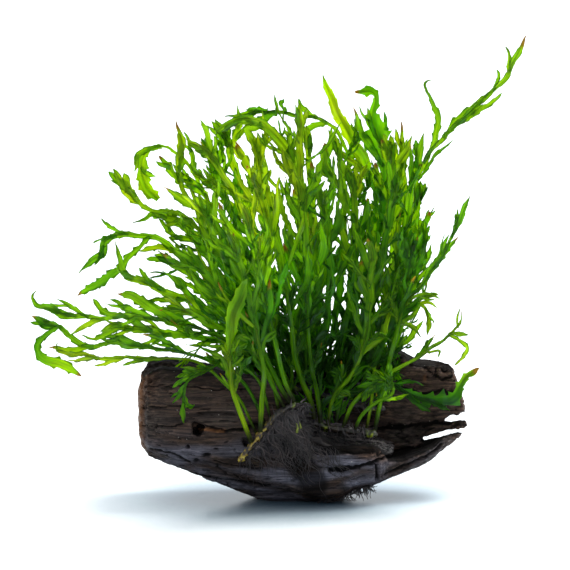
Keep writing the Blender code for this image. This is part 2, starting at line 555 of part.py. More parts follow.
# The log, in mm along X: the underside, the tops of the front and back walls and of the hollow's
# floor, and the outsides and insides of the two walls.
LOG_X = (-85, -84, -80, -72, -62, -50, -38, -26, -18, -12, -7, -3, 1, 6, 14, 22, 30, 34, 38, 46,
         54, 61, 67, 71.5, 74.5, 76.8, 78)
LOG = {
    "under": ((-85, 39), (-84, 28), (-80, 22.3), (-72, 18.6), (-62, 15), (-50, 10.4), (-38, 6.6),
              (-26, 1.5), (-18, -1.5), (-7, -2), (6, -2), (13, -1), (18, 5), (30, 7), (41.5, 10.5),
              (54.5, 15), (61, 18.5), (67.5, 24), (75, 29.5), (78, 34.4)),
    "front_top": ((-85, 55), (-84, 60), (-80, 66), (-74, 69), (-62, 68.5), (-38, 66), (-18, 64), (-12, 58),
                  (-7, 46), (-3, 35), (1, 31), (6, 29.5), (30, 30), (36, 27), (39, 20), (46, 21), (54, 24),
                  (61, 27), (67, 32), (71.5, 34), (78, 37)),
    "back_top": ((-85, 55), (-84, 60), (-80, 66), (-74, 68), (-62, 66), (-38, 61), (0, 60), (25, 61),
                 (34, 70), (38, 73), (44, 73), (47.5, 69.5), (53, 66.4), (66, 66), (71.5, 63), (74.5, 54.6),
                 (76.8, 47), (78, 39.5)),
    "floor": ((-85, 54), (-84, 59), (-80, 64), (-70, 60), (-62, 34), (-50, 26), (-20, 20), (10, 15),
              (30, 17), (46, 20), (61, 26), (71.5, 33.5), (78, 36.4)),
    "front_out": ((-85, -10), (-84, -19), (-80, -24), (-66, -27), (-26, -28), (10, -27), (30, -24),
                  (36, -21), (39, -14), (54, -9), (67, -4), (78, 1)),
    "front_in": ((-85, -5), (-80, -8), (-62, -15), (-26, -16), (10, -15), (34, -14), (39, -11), (54, -6),
                 (67, -1), (78, 4)),
    "back_in": ((-85, 5), (-80, 8), (-62, 15), (-38, 16), (30, 16), (46, 13), (60, 10), (78, 9)),
    "back_out": ((-85, 10), (-84, 19), (-80, 24), (-66, 27), (-26, 28), (30, 29), (60, 25), (71.5, 21),
                 (76.8, 16), (78, 12)),
}
# How far up each wall its outer points are, and how thick the rim is at most
WALL_SHARES = (0.0, 0.2, 0.42, 0.66, 0.88)
RIM = 10.0


def log_size(name, x):
    places, values = zip(*LOG[name])
    return float(np.interp(x, places, values))


def grain(x, number, strength):
    """Ridges that run along the log, change slowly and run out at its right end."""
    strength *= min(1.0, (LOG_X[-1] - x) / 12)
    return strength * (math.sin(2.4 * number + x / 17) + 0.6 * math.sin(5.1 * number - x / 9))


def log_ring(x):
    """One slice across the log, from the front wall's rim down, below, up the back wall and inside."""
    size = {name: log_size(name, x) for name in LOG}
    under, front, back = size["under"], size["front_top"], size["back_top"]
    near, far = size["front_out"], size["back_out"]
    middle = (near + far) / 2
    belly = [0.62 * (1 - math.sqrt(1 - (1 - min(1, 1.25 * share)) ** 2)) for share in WALL_SHARES]
    front_wall, back_wall = (min(RIM, abs(size[inside] - side))
                             for inside, side in (("front_in", near), ("back_in", far)))
    outer = [(near + 0.24 * front_wall, front)]
    outer += [(near + (middle - near) * inward, under + (front - under) * share)
              for share, inward in zip(WALL_SHARES[::-1], belly[::-1])]
    outer += [(middle + (side - middle) * 0.18, under - 0.3) for side in (near, far)]
    outer += [(far + (middle - far) * inward, under + (back - under) * share)
              for share, inward in zip(WALL_SHARES, belly)]
    outer += [(far - 0.24 * back_wall, back)]
    floor = min(size["floor"], front - 0.6, back - 0.6)
    width = size["back_in"] - size["front_in"]
    inner = [(size["back_in"] + 0.12 * back_wall, back - 0.3 - 0.04 * (back - floor)),
             (size["back_in"], floor + 0.45 * (back - floor)),
             (size["back_in"] - 0.12 * width, floor + 0.6), (size["front_in"] + 0.12 * width, floor),
             (size["front_in"], floor + 0.45 * (front - floor)),
             (size["front_in"] - 0.12 * front_wall, front - 0.3)]
    points = []
    for number, (deep, height) in enumerate(outer + inner):
        inside = number >= len(outer)
        shift = grain(x, number, 0.4 if inside else 0.7)
        rim = number in (0, len(outer) - 1)
        points.append((x, deep if rim else deep + shift,
                       height if inside else max(0.0, height + 0.3 * shift)))
    return points


def sight_cutter(name, outline, start, stop):
    """A prism along the line of sight over an (across, up) outline, to cut splits that show through."""
    rings = [[tuple(seen_at(across, up, deep)) for across, up in outline] for deep in (start, stop)]
    cutter = loft(name, rings, bpy.data.materials["driftwood"])
    cutter.hide_render = True
    cutter.display_type = "WIRE"
    bpy.data.collections["African water fern"].objects.unlink(cutter)
    bpy.data.collections["Cutters"].objects.link(cutter)
    return cutter


# Splits and holes in the log: outline as seen, and how deep each starts and stops
SPLITS = {
    "front_notch": (((-5.5, 33), (3.5, 33), (2, 25.3)), -40, -19),
    "lower_split": (((50.5, 25.2), (56, 28), (71, 31.6), (84, 33.6), (84, 36.4), (71, 34), (56, 29.8)),
                    -40, 45),
    "upper_split": (((34, 34.2), (69, 37.6), (84, 38.4), (84, 43.5), (70, 41.2), (67, 38.8)), -40, 45),
    "front_tongue": (((38.5, 14), (9, 12.6), (9, 13.9), (20, 15.9), (33.5, 18.7), (38.5, 20.5)), -40, -23.6),
    "side_hole": (((-59, 38.2), (-52, 35.6), (-54.5, 30.6), (-59.2, 31.2)), -40, -19),
    "side_crack": (((-53, 35.9), (-26, 34.2), (-26, 35.2), (-53, 36.9)), -40, -24),
    "pit": (((-34, 29.6), (-30, 29), (-29.6, 25.4), (-33.6, 25.8)), -40, -22),
}


def make_driftwood(material):
    log = loft("driftwood", [log_ring(x) for x in LOG_X], material)
    for name, (outline, start, stop) in SPLITS.items():
        cutter = sight_cutter(name, outline, start, stop)
        cut = log.modifiers.new(name, "BOOLEAN")
        cut.object = cutter
    return log


def make_root_clump(material):
    """The mat of roots that fills the log's hollow under the rhizomes."""
    rings = []
    for x, top, bottom, front, back in (
            (-55, 40, 31, -8, 9), (-50, 46, 29, -11.5, 12.5), (-38, 51, 27.5, -13, 13.5),
            (-26, 50, 25, -13.4, 13.5), (-14, 47, 23, -13, 13.5), (-4, 38, 21, -12.4, 13.5),
            (8, 32, 19, -12, 13.5), (20, 30, 19, -11.4, 13.2), (34, 28, 20, -11, 12), (42, 26, 22, -6, 10)):
        middle, height = (front + back) / 2, (top + bottom) / 2
        ring = []
        for number, turn in enumerate(np.linspace(0, 2 * math.pi, 9, endpoint=False)):
            squared = (abs(math.cos(turn)) ** 4 + abs(math.sin(turn)) ** 4) ** -0.25
            lump = 1 - 0.06 * (1 + math.sin(3.7 * number + x / 6))
            ring.append((x, middle + (back - middle) * squared * lump * math.cos(turn),
                         height + (top - height) * squared * lump * math.sin(turn)))
        rings.append(ring)
    return loft("root_clump", rings, material)


def make_root_mat(material):
    """The fan of roots that grips the front of the log."""
    columns, rows = 4, 7
    sheet = bmesh.new()
    grid = []
    for row in range(rows + 1):
        share = row / rows
        left = np.interp(share, (0, 0.4, 1), (-16.5, -15.5, -6))
        right = np.interp(share, (0, 0.4, 1), (-9, 0, 12))
        line = []
        for column in range(columns + 1):
            across = left + (right - left) * column / columns
            up = 38.5 - 35.5 * share * (0.8 + 0.2 * math.cos(2.6 * column))
            deep = -31.5 + 5.5 * max(0.0, share - 0.45) ** 1.5 + 0.3 * math.sin(2.2 * column + row)
            line.append(sheet.verts.new(Vector(seen_at(across, up, deep)) * MM))
        grid.append(line)
    for upper, lower in zip(grid, grid[1:]):
        for column in range(columns):
            sheet.faces.new((upper[column], lower[column], lower[column + 1], upper[column + 1]))
    mat = add_object("root_mat", to_mesh("root_mat", sheet), material)
    solid = mat.modifiers.new("Thickness", "SOLIDIFY")
    solid.thickness = 1.4 * MM
    solid.offset = 0
    return mat


def make_material(name, colour, roughness):
    material = bpy.data.materials.new(name)
    material.use_nodes = True
    shader = material.node_tree.nodes["Principled BSDF"]
    shader.inputs["Base Color"].default_value = (*colour, 1)
    shader.inputs["Roughness"].default_value = roughness
    return material


def main():
    for leftover in list(bpy.data.objects):
        bpy.data.objects.remove(leftover)
    for name in ("African water fern", "Cutters"):
        bpy.context.scene.collection.children.link(bpy.data.collections.new(name))
    leaf = make_material("leaf", (0.09, 0.28, 0.01), 0.35)
    wood = make_material("driftwood", (0.035, 0.026, 0.022), 0.6)
    stem = make_material("rhizome", (0.2, 0.12, 0.02), 0.5)
    roots = make_material("roots", (0.03, 0.018, 0.01), 0.8)

    make_driftwood(wood)
    make_root_clump(roots)
    make_root_mat(roots)
    for name, points in RHIZOMES.items():
        make_rhizome(f"rhizome_{name}", points, stem)
    for name, frond in FRONDS.items():
        make_frond(name, frond, leaf)


main()
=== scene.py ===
"""The looks of the African water fern on its driftwood.

Lengths are in mm until a mesh is made. "across" and "up" are measured in the plane through the
origin that faces the camera, and "deep" is the distance behind the origin along +Y.
"""
import math
import random
from dataclasses import dataclass, field

import bpy
import numpy as np
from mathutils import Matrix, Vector, noise
from mathutils.bvhtree import BVHTree


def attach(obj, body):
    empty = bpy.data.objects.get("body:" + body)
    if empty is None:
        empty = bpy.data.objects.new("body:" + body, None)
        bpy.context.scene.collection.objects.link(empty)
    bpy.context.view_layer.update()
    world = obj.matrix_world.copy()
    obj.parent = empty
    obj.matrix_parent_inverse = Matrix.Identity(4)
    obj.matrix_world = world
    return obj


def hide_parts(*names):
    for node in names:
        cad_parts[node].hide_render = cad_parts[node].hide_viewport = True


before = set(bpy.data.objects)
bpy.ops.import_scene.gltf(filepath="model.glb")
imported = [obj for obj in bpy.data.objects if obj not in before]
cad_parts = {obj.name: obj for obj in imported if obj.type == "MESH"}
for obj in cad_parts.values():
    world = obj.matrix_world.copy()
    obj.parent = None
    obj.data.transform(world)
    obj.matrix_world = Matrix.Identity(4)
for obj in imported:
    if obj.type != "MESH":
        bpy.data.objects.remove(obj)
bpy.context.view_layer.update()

MM = 0.001

# The camera looks down by this angle, from this far away, at a picture this wide
VIEW_TILT = math.radians(8.0)
VIEW_DISTANCE = 1600.0
VIEW_CENTRE = (-12.5, 106.0)
PICTURE_WIDTH = 285.0

# A creeping stem's radius, and the angle between a midrib and its leaflets
RHIZOME_RADIUS = 2.2
LEAFLET_ANGLE = math.radians(38.0)

# The creeping stems that the leaves grow from: points across, up and deep
RHIZOMES = {
    "front": [(-36, 17, -33.5), (-30, 25, -34), (-23, 34, -34), (-16, 42, -33), (-7, 47, -32)],
    "mid": [(-22, 53, -11), (-12, 50, -11), (-3, 44, -12), (4, 37, -12), (15, 34, -13), (34, 31, -13)],
    "rear": [(-32, 57, 0), (-16, 55, 0), (2, 52, 0), (20, 46, 0), (38, 44, 0)],
    "back": [(-32, 60, 11), (-14, 59, 11), (8, 58, 11), (26, 55, 11), (41, 52, 11)],
}

# How far from its rhizome a leaf reaches its own depth, and how late it bends towards it
FAN_REACH = {"front": 46.0, "mid": 62.0, "rear": 72.0, "back": 75.0}
FAN_POWER = 1.3


@dataclass
class Frond:
    """One leaf, laid out as seen.

    root: where along its rhizome it starts, across, and row: how far to its front or back.
    depth: how deep its blade is, once it has fanned out.
    line: the points of its midrib, from the first bend to the tip.
    stalk: the share of its length that is bare stalk.
    leaflets: each one's width and its middle line, from the midrib out.
    pairs: the regular leaflets beside them: count, longest, and the stretch that bears them.
    tip_width: how wide its end is.
    slim: whether its stalk and blade are narrow.
    """
    rhizome: str
    root: float
    row: float
    depth: float
    line: list
    stalk: float = 0.3
    leaflets: list = field(default_factory=list)
    pairs: tuple = ()
    tip_width: float = 4.2
    slim: bool = False


FRONDS = {
    # From the rhizome in front of the log
    "frond_front_1": Frond("front", -29, -1.4, -62,
        [(-38, 51), (-39.5, 60), (-40, 78.5), (-37.5, 94), (-31.5, 109)],
        leaflets=[(3, (-39.7, 68), (-35, 74), (-31, 77)), (2.6, (-39, 60), (-34, 64), (-29, 71)),
                  (2.6, (-39.6, 63), (-44, 69), (-50, 72))],
        stalk=0.45, tip_width=6.6),
    "frond_front_2": Frond("front", -25, -2.6, -58,
        [(-24, 48.5), (-23, 62), (-26, 78.5), (-30, 98.5), (-35, 118), (-41, 135)],
        stalk=0.4, pairs=(6, 25, 0.42, 0.92)),
    "frond_front_3": Frond("front", -19.5, 1.2, -46,
        [(-25, 57), (-34, 65), (-44, 67), (-52.5, 62.5), (-61.5, 57.5), (-63.5, 48.5), (-63, 37)],
        leaflets=[(2.2, (-54, 62), (-59, 64), (-63, 64.5)), (2.2, (-59, 59.5), (-64, 58), (-69, 55)),
                  (2.2, (-63.3, 52), (-66, 50.5), (-69, 47)),
                  (2.2, (-63.4, 46), (-60, 44.5), (-57.5, 46))],
        stalk=0.55, tip_width=2.6, slim=True),
    "frond_front_4": Frond("front", -15.5, 1.2, -42,
        [(-19, 58), (-27, 71), (-42, 82), (-58, 91), (-72, 96)], stalk=0.3, pairs=(6, 20, 0.36, 0.9)),
    "frond_front_5": Frond("front", -12.5, -1.4, -50,
        [(-19, 56), (-29, 76), (-42, 98), (-54, 114), (-64, 124)], stalk=0.32, pairs=(6, 25, 0.36, 0.92)),
    "frond_front_6": Frond("front", -9.5, 1.2, -38.5,
        [(-18, 61), (-27.5, 83.5), (-37.5, 108.5), (-47.5, 130), (-55, 150)],
        stalk=0.38, pairs=(7, 27, 0.4, 0.94)),
    "frond_front_7": Frond("front", -7.5, -1.4, -54,
        [(-13, 59), (-18, 80), (-24, 105), (-29, 128), (-33, 146)], stalk=0.4, pairs=(7, 26, 0.42, 0.94)),
    "frond_front_8": Frond("front", -26, 1.4, -36.3,
        [(-35, 48.5), (-42, 56), (-50, 63.5), (-60, 68.5), (-80, 69.5), (-94, 69.5), (-105, 69.5),
         (-113, 71.5), (-118, 70.7), (-126, 73.5), (-126.3, 77)],
        leaflets=[(3, (-82, 69.5), (-88, 67.5), (-93.7, 66.2)),
                  (2.4, (-110, 70.5), (-115, 68.5), (-121, 68.5)),
                  (2.6, (-98, 69.5), (-103, 66.5), (-108, 66))],
        stalk=0.5, tip_width=2.6, slim=True),
    "frond_front_9": Frond("front", -22, 1.4, -34,
        [(-30, 52.5), (-38, 61), (-55, 70), (-75, 74), (-91.5, 76), (-100, 77), (-111.5, 75),
         (-118, 79), (-125, 84.5), (-131.5, 86.5), (-139, 90.3)],
        leaflets=[(3.2, (-113, 75.5), (-121, 73.5), (-131, 75)),
                  (4.2, (-131, 86.5), (-136, 77.5), (-134, 70), (-124, 66), (-114, 60.5)),
                  (3, (-88, 75.5), (-95, 79.5), (-103, 80)), (3, (-66, 73), (-74, 79), (-84, 81)),
                  (3.4, (-40, 62.5), (-47, 71), (-57, 76))],
        stalk=0.42),
    # From the front of the hollow
    "frond_mid_1": Frond("mid", -18, -1.3, -29,
        [(-23, 66), (-36, 76), (-55, 84), (-75, 88.5), (-90, 90.5), (-102.5, 89.5), (-110, 90),
         (-123.5, 91), (-129.5, 94.5), (-136, 95.5), (-138.5, 100), (-137, 103)],
        leaflets=[(3.4, (-60, 85.5), (-74, 93), (-84, 99)), (4.2, (-72, 88), (-88, 99.5), (-96.3, 102)),
                  (3, (-80, 89), (-92, 94.5), (-102.5, 97)),
                  (2.6, (-96, 90), (-103, 92.5), (-108.5, 99)),
                  (2.4, (-115, 90.5), (-120.5, 95.5), (-127, 99.5)),
                  (3, (-108, 90), (-114, 85), (-121, 80.5)),
                  (3, (-91, 90), (-99.5, 82.5), (-107, 79.5), (-114, 81))],
        stalk=0.35, tip_width=3.4),
    "frond_mid_2": Frond("mid", -14, 1.3, -23,
        [(-19, 64), (-30, 79), (-45, 90), (-60, 98), (-72, 102.5), (-80.5, 106.5), (-91.5, 111),
         (-95, 118), (-97.5, 128)],
        leaflets=[(3.4, (-50, 93), (-62, 92), (-72, 90.5)), (3.4, (-58, 97.5), (-67, 108), (-74, 113)),
                  (3.4, (-66, 100), (-76, 98.5), (-86, 98)),
                  (2.6, (-77, 105), (-82, 109), (-85.5, 114.5)),
                  (3.4, (-40, 87), (-50, 98), (-58, 108))],
        stalk=0.3, tip_width=3.6),
    "frond_mid_3": Frond("mid", -9, 1.4, -8.5,
        [(-9, 66), (-7, 85), (-2, 105), (2, 122), (5, 138)], stalk=0.25, pairs=(6, 24, 0.28, 0.92)),
    "frond_mid_4": Frond("mid", 2.5, -3.9, -26,
        [(0, 49), (-4, 58), (-7.5, 70), (-9, 83.5), (-10.5, 95), (-15, 118.5), (-23, 145), (-29, 166)],
        stalk=0.42, pairs=(7, 28, 0.42, 0.94)),
    "frond_mid_5": Frond("mid", 5.5, -3.7, -20.5,
        [(3.5, 52), (0.5, 66), (-1, 85), (-1, 108.5), (-2.5, 135), (-5, 160)],
        stalk=0.42, pairs=(7, 27, 0.42, 0.94)),
    "frond_mid_6": Frond("mid", 9, -1, -17,
        [(10.5, 46), (13.5, 53), (20, 60), (26, 73), (30, 98.5), (31, 128)],
        stalk=0.4, pairs=(6, 24, 0.42, 0.93)),
    "frond_mid_7": Frond("mid", 22, -1.6, -31,
        [(26, 41), (33.5, 47.5), (40.5, 51), (41.5, 55.5), (37, 58.5), (30, 57), (23, 55)],
        leaflets=[(2.4, (37, 58.5), (37.5, 62), (35.5, 65)),
                  (2.4, (32.5, 57.7), (30, 61), (26.5, 62.7)),
                  (2.4, (31, 57.2), (28, 51.5), (25.5, 47.5))],
        stalk=0.6, tip_width=2.8, slim=True),
    "frond_mid_8": Frond("mid", 12.5, 1.4, -10,
        [(16, 50), (22.5, 57.5), (31, 67), (40, 84), (46, 102), (50, 118), (52, 132)],
        stalk=0.3, pairs=(6, 20, 0.34, 0.93)),
    "frond_mid_9": Frond("mid", 16, 0, -22,
        [(22, 47.5), (34, 57.5), (40.5, 62.5), (53.5, 69.5), (60.5, 74.5), (66, 77.5), (71, 82),
         (79.5, 81)],
        leaflets=[(2.6, (57, 72), (60, 77.5), (63, 81)), (1.8, (62, 75.5), (64.5, 73), (63.5, 69.5)),
                  (1.8, (70.5, 81.5), (74.5, 86), (75.5, 93.5)),
                  (2, (74, 81.8), (78.5, 75.5), (77, 70.5), (72, 66))],
        stalk=0.6, tip_width=2.4, slim=True),
    "frond_mid_10": Frond("mid", 32, 1.6, -14,
        [(35.5, 49), (37.5, 58.5), (42.5, 78.5), (48, 96.5), (58, 108), (68, 124), (74, 136.5),
         (80, 150.5)],
        leaflets=[(2.4, (46, 91), (48.3, 101.5), (53, 110.5)),
                  (2, (57, 107.5), (63, 118), (66, 127), (68.5, 133)),
                  (3, (65, 119), (70, 126), (74.5, 130)), (2, (73, 134.5), (73.8, 140), (73.3, 144.5))],
        stalk=0.45, tip_width=3, slim=True),
    "frond_mid_11": Frond("mid", 28, 1.6, -7.5,
        [(31, 50), (33, 70), (37, 84), (43, 91), (50, 96), (57, 95.5), (59, 88), (59, 81)],
        leaflets=[(3, (34.5, 77), (30, 86), (27, 96)), (3, (42, 90), (50, 86), (56.5, 79)),
                  (2.4, (53, 96.3), (59, 97), (64, 94.5)), (2.2, (58.7, 90), (61.5, 88.5), (62, 86))],
        stalk=0.4, tip_width=2.6, slim=True),
    "frond_mid_12": Frond("mid", -21.5, 1.4, -17,
        [(-27, 67), (-42, 77), (-60, 80.5), (-80, 83), (-96, 85), (-105, 83)],
        stalk=0.3, pairs=(6, 18, 0.34, 0.92)),
    # From the middle of the hollow
    "frond_rear_1": Frond("rear", -27, -1.2, 17,
        [(-34, 74), (-45, 91), (-55, 105), (-62, 116), (-70, 125.5), (-79, 130), (-88, 131),
         (-98, 130.5), (-103, 127.5), (-103.3, 122), (-109, 118.5), (-115.5, 112)],
        leaflets=[(3.6, (-40, 83), (-50, 89), (-60, 97)), (3.6, (-52, 101), (-49, 113), (-47, 126)),
                  (3, (-70, 127), (-77, 125), (-86, 123)),
                  (3.8, (-85, 132.3), (-91.5, 119), (-98.5, 111.5), (-107.5, 106), (-116.5, 100.5)),
                  (1.8, (-96, 132), (-101, 135.5), (-104.5, 139.5))],
        stalk=0.2, tip_width=4),
    "frond_rear_2": Frond("rear", -22.5, 1.2, 13.3,
        [(-30, 80), (-42, 106), (-54, 124), (-62.5, 134), (-69.5, 139), (-78, 141.5), (-83.5, 139),
         (-88.5, 137)], stalk=0.2, pairs=(6, 22, 0.24, 0.76), tip_width=3.2),
    "frond_rear_3": Frond("rear", -17.5, 1.2, 9,
        [(-27, 84), (-41, 112), (-53, 131), (-62, 139.5), (-72, 143), (-79, 143.5), (-86, 147.5),
         (-93, 156), (-98.5, 164)],
        leaflets=[(2.4, (-88, 151), (-92, 151.5), (-95, 153.5))],
        stalk=0.28, pairs=(6, 23, 0.32, 0.72), tip_width=4.4),
    "frond_rear_4": Frond("rear", -6, 1.4, 15.5,
        [(-4, 80), (0, 120), (-3, 150), (-8, 166), (-14, 177), (-24, 186), (-35, 188.5), (-44, 184.5),
         (-47, 181)],
        leaflets=[(3, (-29, 188), (-31.5, 183.5), (-28, 178.5))],
        stalk=0.2, pairs=(7, 24, 0.22, 0.76), tip_width=4.2),
    "frond_rear_5": Frond("rear", -1.5, -1.4, 7,
        [(-3, 90), (-4, 130), (-5, 165), (-5, 185), (-5, 197)], stalk=0.2, pairs=(8, 29, 0.22, 0.94)),
    "frond_rear_6": Frond("rear", 3, 1.2, 1.5,
        [(6, 70), (9, 95), (10, 120), (7, 142), (4, 157)], stalk=0.2, pairs=(6, 24, 0.22, 0.93)),
    "frond_rear_7": Frond("rear", 7.5, 1.4, 12.5,
        [(14, 72), (20, 98), (23, 124), (22, 148), (19, 167)], stalk=0.2, pairs=(7, 24, 0.24, 0.94)),
    "frond_rear_8": Frond("rear", 12, 0, -1,
        [(20, 70), (29, 95), (36, 120), (41, 145), (44, 162)], stalk=0.25, pairs=(7, 22, 0.3, 0.94)),
    "frond_rear_9": Frond("rear", 16.5, 1.2, 10.5,
        [(24, 66), (32, 84), (40, 100), (46, 118), (49, 137)], stalk=0.2, pairs=(6, 20, 0.22, 0.93)),
    "frond_rear_10": Frond("rear", 21, -1.2, 4.5,
        [(30, 66), (38, 90), (46, 125), (51, 155), (55, 172), (57, 182)],
        leaflets=[(3, (51.3, 157), (51, 168), (49.5, 177.5))],
        stalk=0.25, pairs=(6, 22, 0.28, 0.78)),
    "frond_rear_11": Frond("rear", 27, -1.5, -4,
        [(34, 51), (41, 56.5), (47, 53), (52, 50.5), (60, 48.5), (70, 48.5), (75, 55), (79, 61),
         (84.5, 64.5)],
        leaflets=[(2.6, (44, 55.2), (51, 57.5), (57, 56)), (3, (50, 51.3), (55, 46), (60, 42.5)),
                  (3, (62, 48.3), (66, 45.5), (70, 43.5))],
        stalk=0.4, tip_width=3.8, slim=True),
    "frond_rear_12": Frond("rear", 34, 1.5, 7.3,
        [(39, 66), (46, 88), (52, 108), (56, 124), (57, 139)], stalk=0.25, pairs=(6, 17, 0.28, 0.93)),
    "frond_rear_13": Frond("rear", -12.5, -1.2, 3.7,
        [(-20, 80), (-30, 104), (-42, 126), (-52, 146)], stalk=0.2, pairs=(7, 25, 0.22, 0.93)),
    "frond_rear_14": Frond("rear", -9, -1, 19,
        [(-16, 90), (-26, 124), (-38, 152), (-50, 170), (-62, 179)],
        stalk=0.2, pairs=(7, 24, 0.24, 0.93)),
    # From the back of the hollow
    "frond_back_1": Frond("back", -24.5, 0, 31,
        [(-34, 96), (-45, 122), (-54, 142), (-62, 151), (-65.5, 159), (-65.5, 168), (-64, 178),
         (-67, 188)],
        leaflets=[(3.4, (-65.7, 162), (-71, 166), (-76, 170.5)),
                  (3.6, (-59, 148), (-66.5, 150.5), (-73, 155))],
        stalk=0.15, pairs=(5, 22, 0.2, 0.62), tip_width=3.4),
    "frond_back_2": Frond("back", -20, 0, 36,
        [(-32, 100), (-46, 135), (-55, 157), (-63, 168), (-70, 174.5), (-77, 175), (-83, 171),
         (-84.5, 163), (-81, 154), (-76, 148.5)],
        leaflets=[(2.8, (-79, 174), (-85.5, 171.5), (-88.5, 165.5)),
                  (2, (-84.3, 160), (-80.5, 161.5), (-77, 160))],
        stalk=0.2, pairs=(6, 24, 0.24, 0.66), tip_width=4.6),
    "frond_back_3": Frond("back", -15.5, 1.4, 24,
        [(-26, 105), (-38, 138), (-47, 162), (-52, 180)], stalk=0.15, pairs=(7, 26, 0.2, 0.94)),
    "frond_back_4": Frond("back", -11, 0, 41,
        [(-18, 100), (-28, 135), (-37, 162), (-42, 180), (-47.5, 189)],
        stalk=0.25, pairs=(7, 25, 0.28, 0.94)),
    "frond_back_5": Frond("back", -6.5, -1.4, 20.5,
        [(-10, 100), (-18, 138), (-25, 165), (-30, 184)], stalk=0.15, pairs=(7, 29, 0.2, 0.94)),
    "frond_back_6": Frond("back", -2, 1.4, 44,
        [(6, 105), (14, 145), (19, 168), (15, 180), (7.5, 188), (-5, 190.5), (-20, 192.8), (-30, 191.8),
         (-42.5, 190.2)],
        leaflets=[(1.8, (-16, 193.5), (-15, 196.5), (-13, 199)), (2, (-2, 191), (-4.5, 195), (-6, 199)),
                  (2.6, (4, 189.5), (-3, 183), (-8, 175)), (2.6, (-22, 194), (-27, 187), (-30, 181))],
        stalk=0.25, pairs=(5, 24, 0.28, 0.64), tip_width=2.6),
    "frond_back_7": Frond("back", 2.5, -1.4, 33.5,
        [(4, 100), (2, 140), (0, 165), (-2, 186)], stalk=0.15, pairs=(8, 30, 0.2, 0.94)),
    "frond_back_8": Frond("back", 7, 0, 27,
        [(14, 98), (17, 135), (16, 160), (12, 183)], stalk=0.15, pairs=(7, 30, 0.2, 0.94)),
    "frond_back_9": Frond("back", 12, 0, 38.5,
        [(24, 100), (32, 130), (33, 152), (27, 169), (22, 177), (13, 193.5), (6.5, 211)],
        stalk=0.25, pairs=(6, 24, 0.28, 0.72), tip_width=4.8),
    "frond_back_10": Frond("back", 17, 0, 29.5,
        [(28, 100), (35, 135), (37, 160), (35.5, 174), (33, 184), (31.5, 192), (33, 199), (30.5, 203),
         (22.5, 202.8)],
        leaflets=[(4, (35.7, 170), (26, 182), (21.5, 196)), (3.4, (34, 179), (37.5, 185), (37, 192.5)),
                  (2.8, (33.6, 181), (30, 188), (28.5, 195))],
        stalk=0.15, pairs=(6, 23, 0.2, 0.66), tip_width=5.6),
    "frond_back_11": Frond("back", 22, 0, 22.5,
        [(31, 95), (37, 125), (40, 148), (41, 166), (40, 181)], stalk=0.15, pairs=(7, 23, 0.2, 0.93)),
    "frond_back_12": Frond("back", 27, 1.5, 42,
        [(38, 100), (44, 140), (46.5, 168), (45.5, 187.5)],
        leaflets=[(3.6, (46, 163), (42.5, 172), (41, 181))],
        stalk=0.25, pairs=(6, 22, 0.28, 0.8), tip_width=2.6),
    "frond_back_13": Frond("back", 32, -1.5, 35,
        [(40, 100), (46.5, 135), (53, 158), (60, 172), (69, 182), (85, 197.5), (96.5, 208), (102, 218),
         (108, 230.5)],
        leaflets=[(3.4, (54, 160), (63, 171), (74, 180.5)),
                  (3.2, (60, 172), (64.5, 180), (66, 188.5), (60, 199), (58, 207)),
                  (4, (70, 183), (78, 192), (91, 203)), (1.8, (77, 190), (88, 195), (96, 202.5)),
                  (1.8, (95, 206.5), (94.3, 211), (93.5, 214)),
                  (1.8, (101.5, 217), (99.5, 221), (97.5, 225))],
        stalk=0.2, pairs=(4, 20, 0.24, 0.52), tip_width=3, slim=True),
    "frond_back_14": Frond("back", 37, 0, 26,
        [(43.5, 90), (49.5, 118), (53, 140), (55, 158)], stalk=0.2, pairs=(6, 15, 0.24, 0.93)),
    "frond_back_15": Frond("back", -29.5, 0, 20.5,
        [(-38, 84), (-52, 104), (-66, 116), (-78, 121)], stalk=0.15, pairs=(6, 20, 0.2, 0.93)),
}

# Leaf stalks that are thicker than the others, in mm
STALK_WIDTH = 2.0
STALK_WIDTHS = {"frond_front_1": 2.8, "frond_front_2": 2.9, "frond_mid_4": 3.0, "frond_mid_5": 2.6,
                "frond_front_6": 2.6, "frond_front_7": 2.6, "frond_mid_8": 2.3, "frond_mid_10": 2.5,
                "frond_mid_9": 2.2, "frond_mid_6": 2.4, "frond_mid_7": 2.0}

# The width in mm of a leaflet, and of the blade along a midrib
LEAFLET_WIDTH = 3.5
WING_WIDTH = 3.6
WING_WIDTHS = {"frond_back_6": 1.8, "frond_rear_4": 5.0, "frond_rear_3": 2.4, "frond_rear_1": 3.0,
               "frond_back_1": 2.6, "frond_mid_1": 2.6, "frond_front_9": 2.8, "frond_front_8": 2.0,
               "frond_mid_9": 1.6, "frond_mid_10": 1.6, "frond_mid_11": 1.6, "frond_mid_7": 1.4,
               "frond_front_3": 1.5, "frond_back_13": 2.4}

# What a slim leaf has of the usual widths, and a round stalk of its width
SLIM_STALK = 0.85
SLIM_WING = 0.62
ROUND_STALK = 0.88

